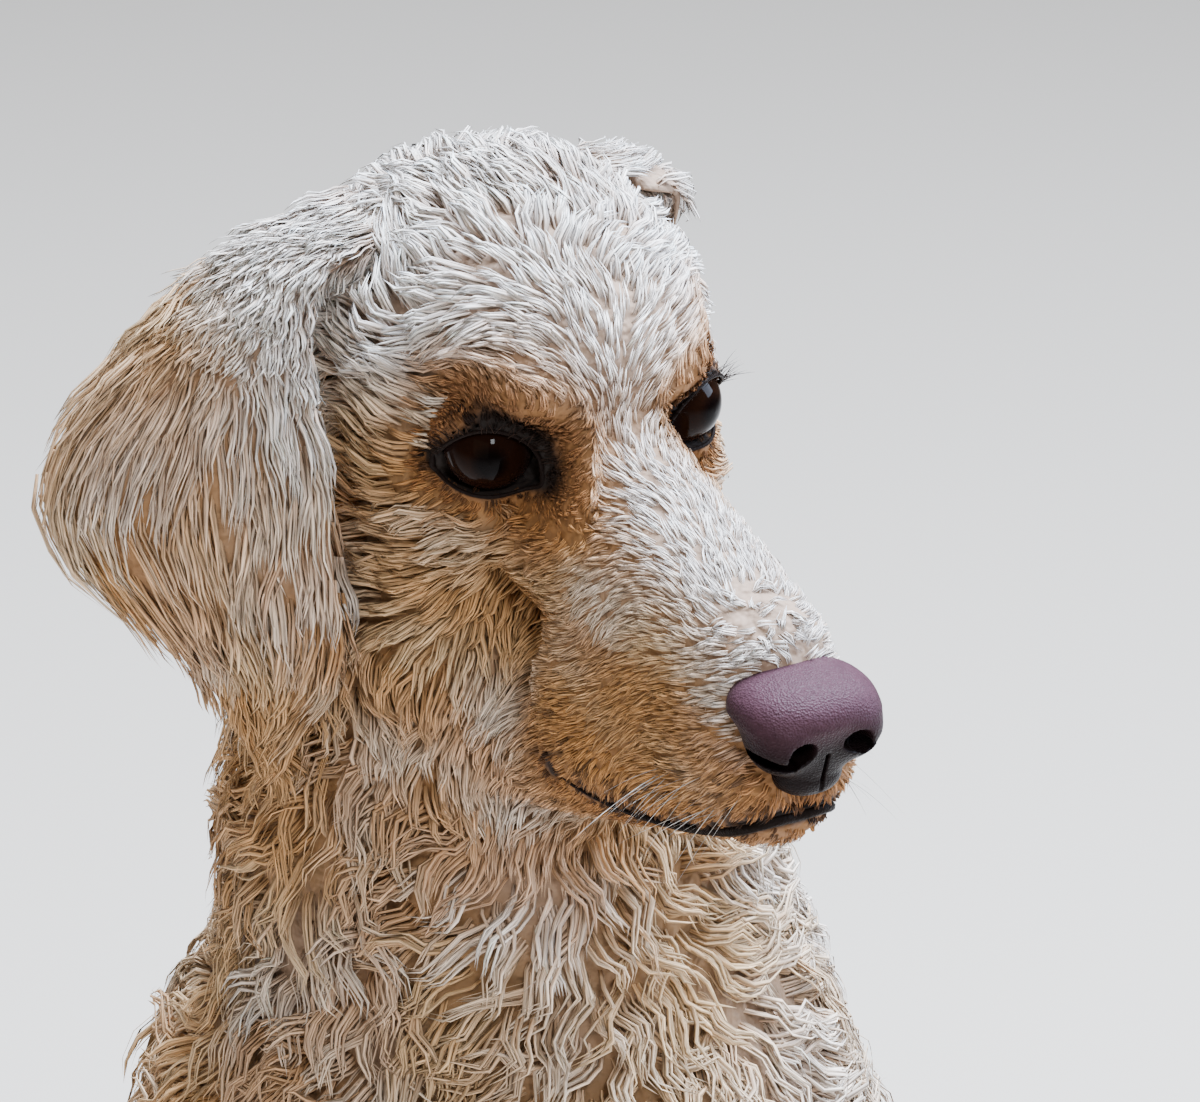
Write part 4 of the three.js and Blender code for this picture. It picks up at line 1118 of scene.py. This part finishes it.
def eyeball(side):
    """An eyeball with its bulging front, and its colours."""
    centre, across, up, ahead = eye_axes(side)
    rings, sides = 28, 40
    polar = np.linspace(0, math.pi, rings)
    around = np.linspace(0, 2 * math.pi, sides, endpoint=False)
    radius = EYE["radius"] + CORNEA["height"] * np.exp(-((polar / CORNEA["spread"]) ** 2))
    a = np.outer(radius * np.sin(polar), np.cos(around))
    b = np.outer(radius * np.sin(polar), np.sin(around))
    c = np.outer(radius * np.cos(polar), np.ones(sides))
    local = centre + a[..., None] * across + b[..., None] * up + c[..., None] * ahead
    i = np.arange(rings * sides).reshape(rings, sides)
    faces = np.stack([i[:-1], np.roll(i[:-1], -1, 1), np.roll(i[1:], -1, 1), i[1:]], -1).reshape(-1, 4)
    r = np.hypot(a, b).ravel()
    front = c.ravel() > 0
    colour = mix(EYE_WHITE[None], IRIS_BROWN[None], ramp(r, *IRIS_EDGE) * front)
    colour = mix(colour, BLACK[None], ramp(r, *PUPIL_EDGE) * front)
    return from_head(local.reshape(-1, 3)), faces[:, ::side], colour


def lid_edge(side):
    """The edge of the lids' opening, laid on the lids in head axes, and the angle at its points."""
    centre, across, up, ahead = eye_axes(side)
    angle = np.linspace(0, 2 * math.pi, 56, endpoint=False)
    rise = np.sin(angle) * np.where(np.sin(angle) > 0, LIDS["above"], LIDS["below"])
    start = centre + np.outer(1.02 * LIDS["half_width"] * np.cos(angle), across)
    start = start + np.outer(LIDS["corner_at"] + rise, up)
    reach = cast_out(lambda v: lidded(from_head(v)), start, np.tile(ahead, (len(angle), 1)), 30.0)
    return start + ahead * (reach - 0.3)[:, None], angle


def lashes(side, name, edge, angle):
    """Short dark hairs on the upper lid."""
    centre, _, up, ahead = eye_axes(side)
    n = 60
    pick = rng.choice(np.nonzero(np.sin(angle) > 0.25)[0], n)
    root = edge[pick] + rng.normal(0, 0.5, (n, 3))
    outward = unit((edge[pick] - centre) + 9 * up + rng.normal(0, 3.0, (n, 3)))
    length = rng.uniform(4.0, 8.0, n)
    share = np.linspace(0, 1, 5)
    path = root[:, None] + outward[:, None] * (length[:, None] * share)[..., None]
    path = path + ahead * (2.5 * share**2)[None, :, None]
    across = unit(np.cross(outward, ahead))
    tints = (DARK * 1.5, DARK * 1.5)
    taper = [1, 0.9, 0.7, 0.4, 0]
    single_hairs(f"coat_lashes_{name}", path, across, np.tile(ahead, (n, 1)), tints, 0.17, taper)


def make_eye(side, name):
    points, faces, colour = eyeball(side)
    piece = make_mesh(f"eyeball_{name}", points, faces)
    paint(piece, colour)
    put(piece, eye_finish, [f"eye_{name}"])
    edge, angle = lid_edge(side)
    thick = 0.5 + 0.3 * np.abs(np.cos(angle)) ** 6
    points, faces = tube(edge, thick, unit(edge - eye_axes(side)[0]))
    put(make_mesh(f"lid_rim_{name}", from_head(points), faces[:, ::-side]), rim_finish)
    lashes(side, name, edge, angle)


eye_finish = tinted("eye_wet", 0.2, 900, 0.04, 0.045)[0]
rim_finish, rim_tree, rim_shader = new_material("lid_skin", 0.5, 0.05, (0.010, 0.006, 0.005))
add_bump(rim_tree, rim_shader, 1500, 0.0003)
make_eye(1, "left")
make_eye(-1, "right")

# Nose colours: the first is a painted sheen of light on the top of the nose, the second, near black, the
# dark leather in painted shade underneath
MAUVE_SHEEN = np.array([0.062, 0.028, 0.038])
LIVER = np.array([0.006, 0.003, 0.003])


def make_nose():
    """The nose leather: a painted sheen of light in mauve above, near black below where the dark leather is
    in painted shade, and black in the nostrils as painted shade.
    """
    points, faces = surface_of(nose_field, (76, -24, -60), (120, 24, -16), 0.6)
    finish, tree, shader = tinted("nose_skin", 0.35, 700, 0.4, 0.06)
    add_bump(tree, shader, 1700, 0.0002, "ShaderNodeTexVoronoi")
    piece = make_mesh("nose_leather", from_head(points), faces)
    # painted light and shade: sheen higher up, near black lower down, black deep in the nostrils
    height = points[:, 2] + 0.12 * (points[:, 0] - 100)
    tone = mix(LIVER[None], MAUVE_SHEEN, ramp(height, -38, -24))
    paint(piece, mix(tone, BLACK[None], ramp(bare_nose(points), -0.2, -2.0)))
    put(piece, finish, ["nose"])


def make_lips():
    finish, tree, shader = new_material("lip_skin", 0.45, 0.03, (0.008, 0.005, 0.004))
    add_bump(tree, shader, 1200, 0.0004)
    out = unit(gradient(bare_head, MOUTH_LINE))
    thin = 1.5 * np.sin(np.pi * np.linspace(0.02, 0.98, len(MOUTH_LINE))) ** 0.35
    for name, lift in (("upper", 1.4), ("lower", -1.4)):
        path = MOUTH_LINE - out * 0.7
        path[:, 2] += lift
        points, faces = tube(path, thin, out, 8, False)
        put(make_mesh(f"lip_{name}", from_head(points), faces), finish)


def make_claws():
    finish = mottled("claw_horn", 0.42, 300, ((0.05, 0.035, 0.028), (0.17, 0.125, 0.10)))
    drop = math.radians(CLAW["drop"])
    t = np.linspace(-0.35, 1.0, 12)
    down = CLAW["length"] * t * np.abs(t) * math.sin(drop)
    curve = np.stack([0 * t, -CLAW["length"] * t * math.cos(drop), -down], 1)
    radii = CLAW["radius"] * np.clip(1 - 0.75 * np.clip(t, 0, 1), 0, 1) * np.where(t > 0.99, 0.05, 1)
    for row, at in (("front", FOREPAW_AT), ("hind", HINDPAW_AT)):
        for n, toe in enumerate(toes_of(at)):
            base = toe[1] + np.array([0, -PAW["toe"][1] - COAT["paw"] + CLAW["sunk"], 0])
            points, faces = tube(base + curve, radii, np.tile([0, 0, 1.0], (len(t), 1)), 12, False)
            points[:, 2] = np.maximum(points[:, 2], 0.4)
            for side, name in ((1, "left"), (-1, "right")):
                mirrored = points * np.array([side, 1, 1])
                piece = make_mesh(f"claw_{row}_{name}_{n + 1}_horn", mirrored, faces[:, ::side])
                put(piece, finish, [f"claw_{row}_{name}_{n + 1}"])


def whiskers():
    """A few pale, stiff hairs on the upper lips."""
    n = 46
    f = rng.uniform(60, 96, n)
    side = np.where(np.arange(n) % 2 == 0, 1.0, -1.0)
    origin = np.stack([f, 0 * f, mouth_height(f) + rng.uniform(5, 18, n)], 1)
    direction = np.stack([0 * f, side, 0 * f], 1)
    root = origin + direction * cast_out(bare_head, origin, direction)[:, None]
    spread = [rng.uniform(-0.7, 0.1, n), side * rng.uniform(0.5, 1.0, n), rng.uniform(-0.8, -0.1, n)]
    ahead = unit(np.stack(spread, 1))
    length = rng.uniform(14, 30, n)
    share = np.linspace(0, 1, 6)
    path = root[:, None] + ahead[:, None] * (length[:, None] * share)[..., None]
    path[:, :, 2] -= 5 * share**2
    across = unit(np.cross(ahead, np.array([0, 0, 1.0])))
    pale = np.array([0.85, 0.80, 0.74])
    taper = [1, 0.9, 0.75, 0.55, 0.35, 0]
    single_hairs("coat_whiskers", path, across, np.cross(across, ahead), (pale, pale * 0.7), 0.13, taper)


make_nose()
make_lips()
make_claws()
whiskers()

# Floor, light and camera
FLOOR = np.array([[-9000, -9000, 0], [9000, -9000, 0], [9000, 14000, 0], [-9000, 14000, 0.0]])
floor_mesh = make_mesh("floor", FLOOR + SHIFT * [1, 1, 0], np.array([[0, 1, 2, 3]]), False)
floor_mesh.data.materials.append(mottled("floor_plain", 0.9, 3, ((0.64, 0.57, 0.49), (0.68, 0.61, 0.53))))

AZIMUTH, ELEVATION = math.radians(-14), math.radians(20)
DISTANCE, PIXELS_PER_MM = 1700.0, 4.08
FRAME_WIDTH, FRAME_HEIGHT = 1200, 1102
HEAD_PIXEL = (604, 430)
level = math.cos(ELEVATION)
back = np.array([math.sin(AZIMUTH) * level, -math.cos(AZIMUTH) * level, math.sin(ELEVATION)])
right = np.array([math.cos(AZIMUTH), math.sin(AZIMUTH), 0])
above = np.cross(back, right)
focal = PIXELS_PER_MM * DISTANCE
eye_at = (
    HEAD_AT + back * DISTANCE
    - right * (HEAD_PIXEL[0] - FRAME_WIDTH / 2) / focal * DISTANCE
    - above * (FRAME_HEIGHT / 2 - HEAD_PIXEL[1]) / focal * DISTANCE
)
camera = bpy.data.objects.new("camera", bpy.data.cameras.new("camera"))
camera.data.sensor_width = 36
camera.data.lens = focal / FRAME_WIDTH * 36
camera.data.clip_end = 100
axes = np.stack([right, above, back], 1)
placed = np.eye(4)
placed[:3, :3] = axes
placed[:3, 3] = (eye_at - SHIFT) * MM
camera.matrix_world = Matrix(placed.tolist())
bpy.context.scene.collection.objects.link(camera)
bpy.context.scene.camera = camera


def softbox(name, offset, size, power, colour):
    """A square area light that faces the head from an offset in metres."""
    lamp = bpy.data.lights.new(name, "AREA")
    lamp.size = size
    lamp.energy = power
    lamp.color = colour
    holder = bpy.data.objects.new(name, lamp)
    target = (HEAD_AT - SHIFT) * MM
    at = target + np.array(offset)
    z = unit(at - target)
    x = unit(np.cross([0, 0, 1.0], z) if abs(z[2]) < 0.99 else np.array([1.0, 0, 0]))
    m = np.eye(4)
    m[:3, :3] = np.stack([x, np.cross(z, x), z], 1)
    m[:3, 3] = at
    holder.matrix_world = Matrix(m.tolist())
    bpy.context.scene.collection.objects.link(holder)


softbox("sky", (0.6, 0.5, 2.2), 1.5, 460, (0.72, 0.83, 1.0))
softbox("right_sky", (2.2, -0.2, 1.1), 1.3, 150, (0.62, 0.76, 1.0))
softbox("front_fill", (-1.6, -2.2, 0.6), 2.2, 10, (1.0, 0.86, 0.66))
softbox("glint", (0.0, -1.6, 1.1), 0.34, 24, (0.9, 0.95, 1.0))
world = bpy.data.worlds.new("studio")
bpy.context.scene.world = world
world.use_nodes = True
background = world.node_tree.nodes["Background"]
background.inputs["Color"].default_value = (1.0, 0.93, 0.82, 1)
background.inputs["Strength"].default_value = 0.24
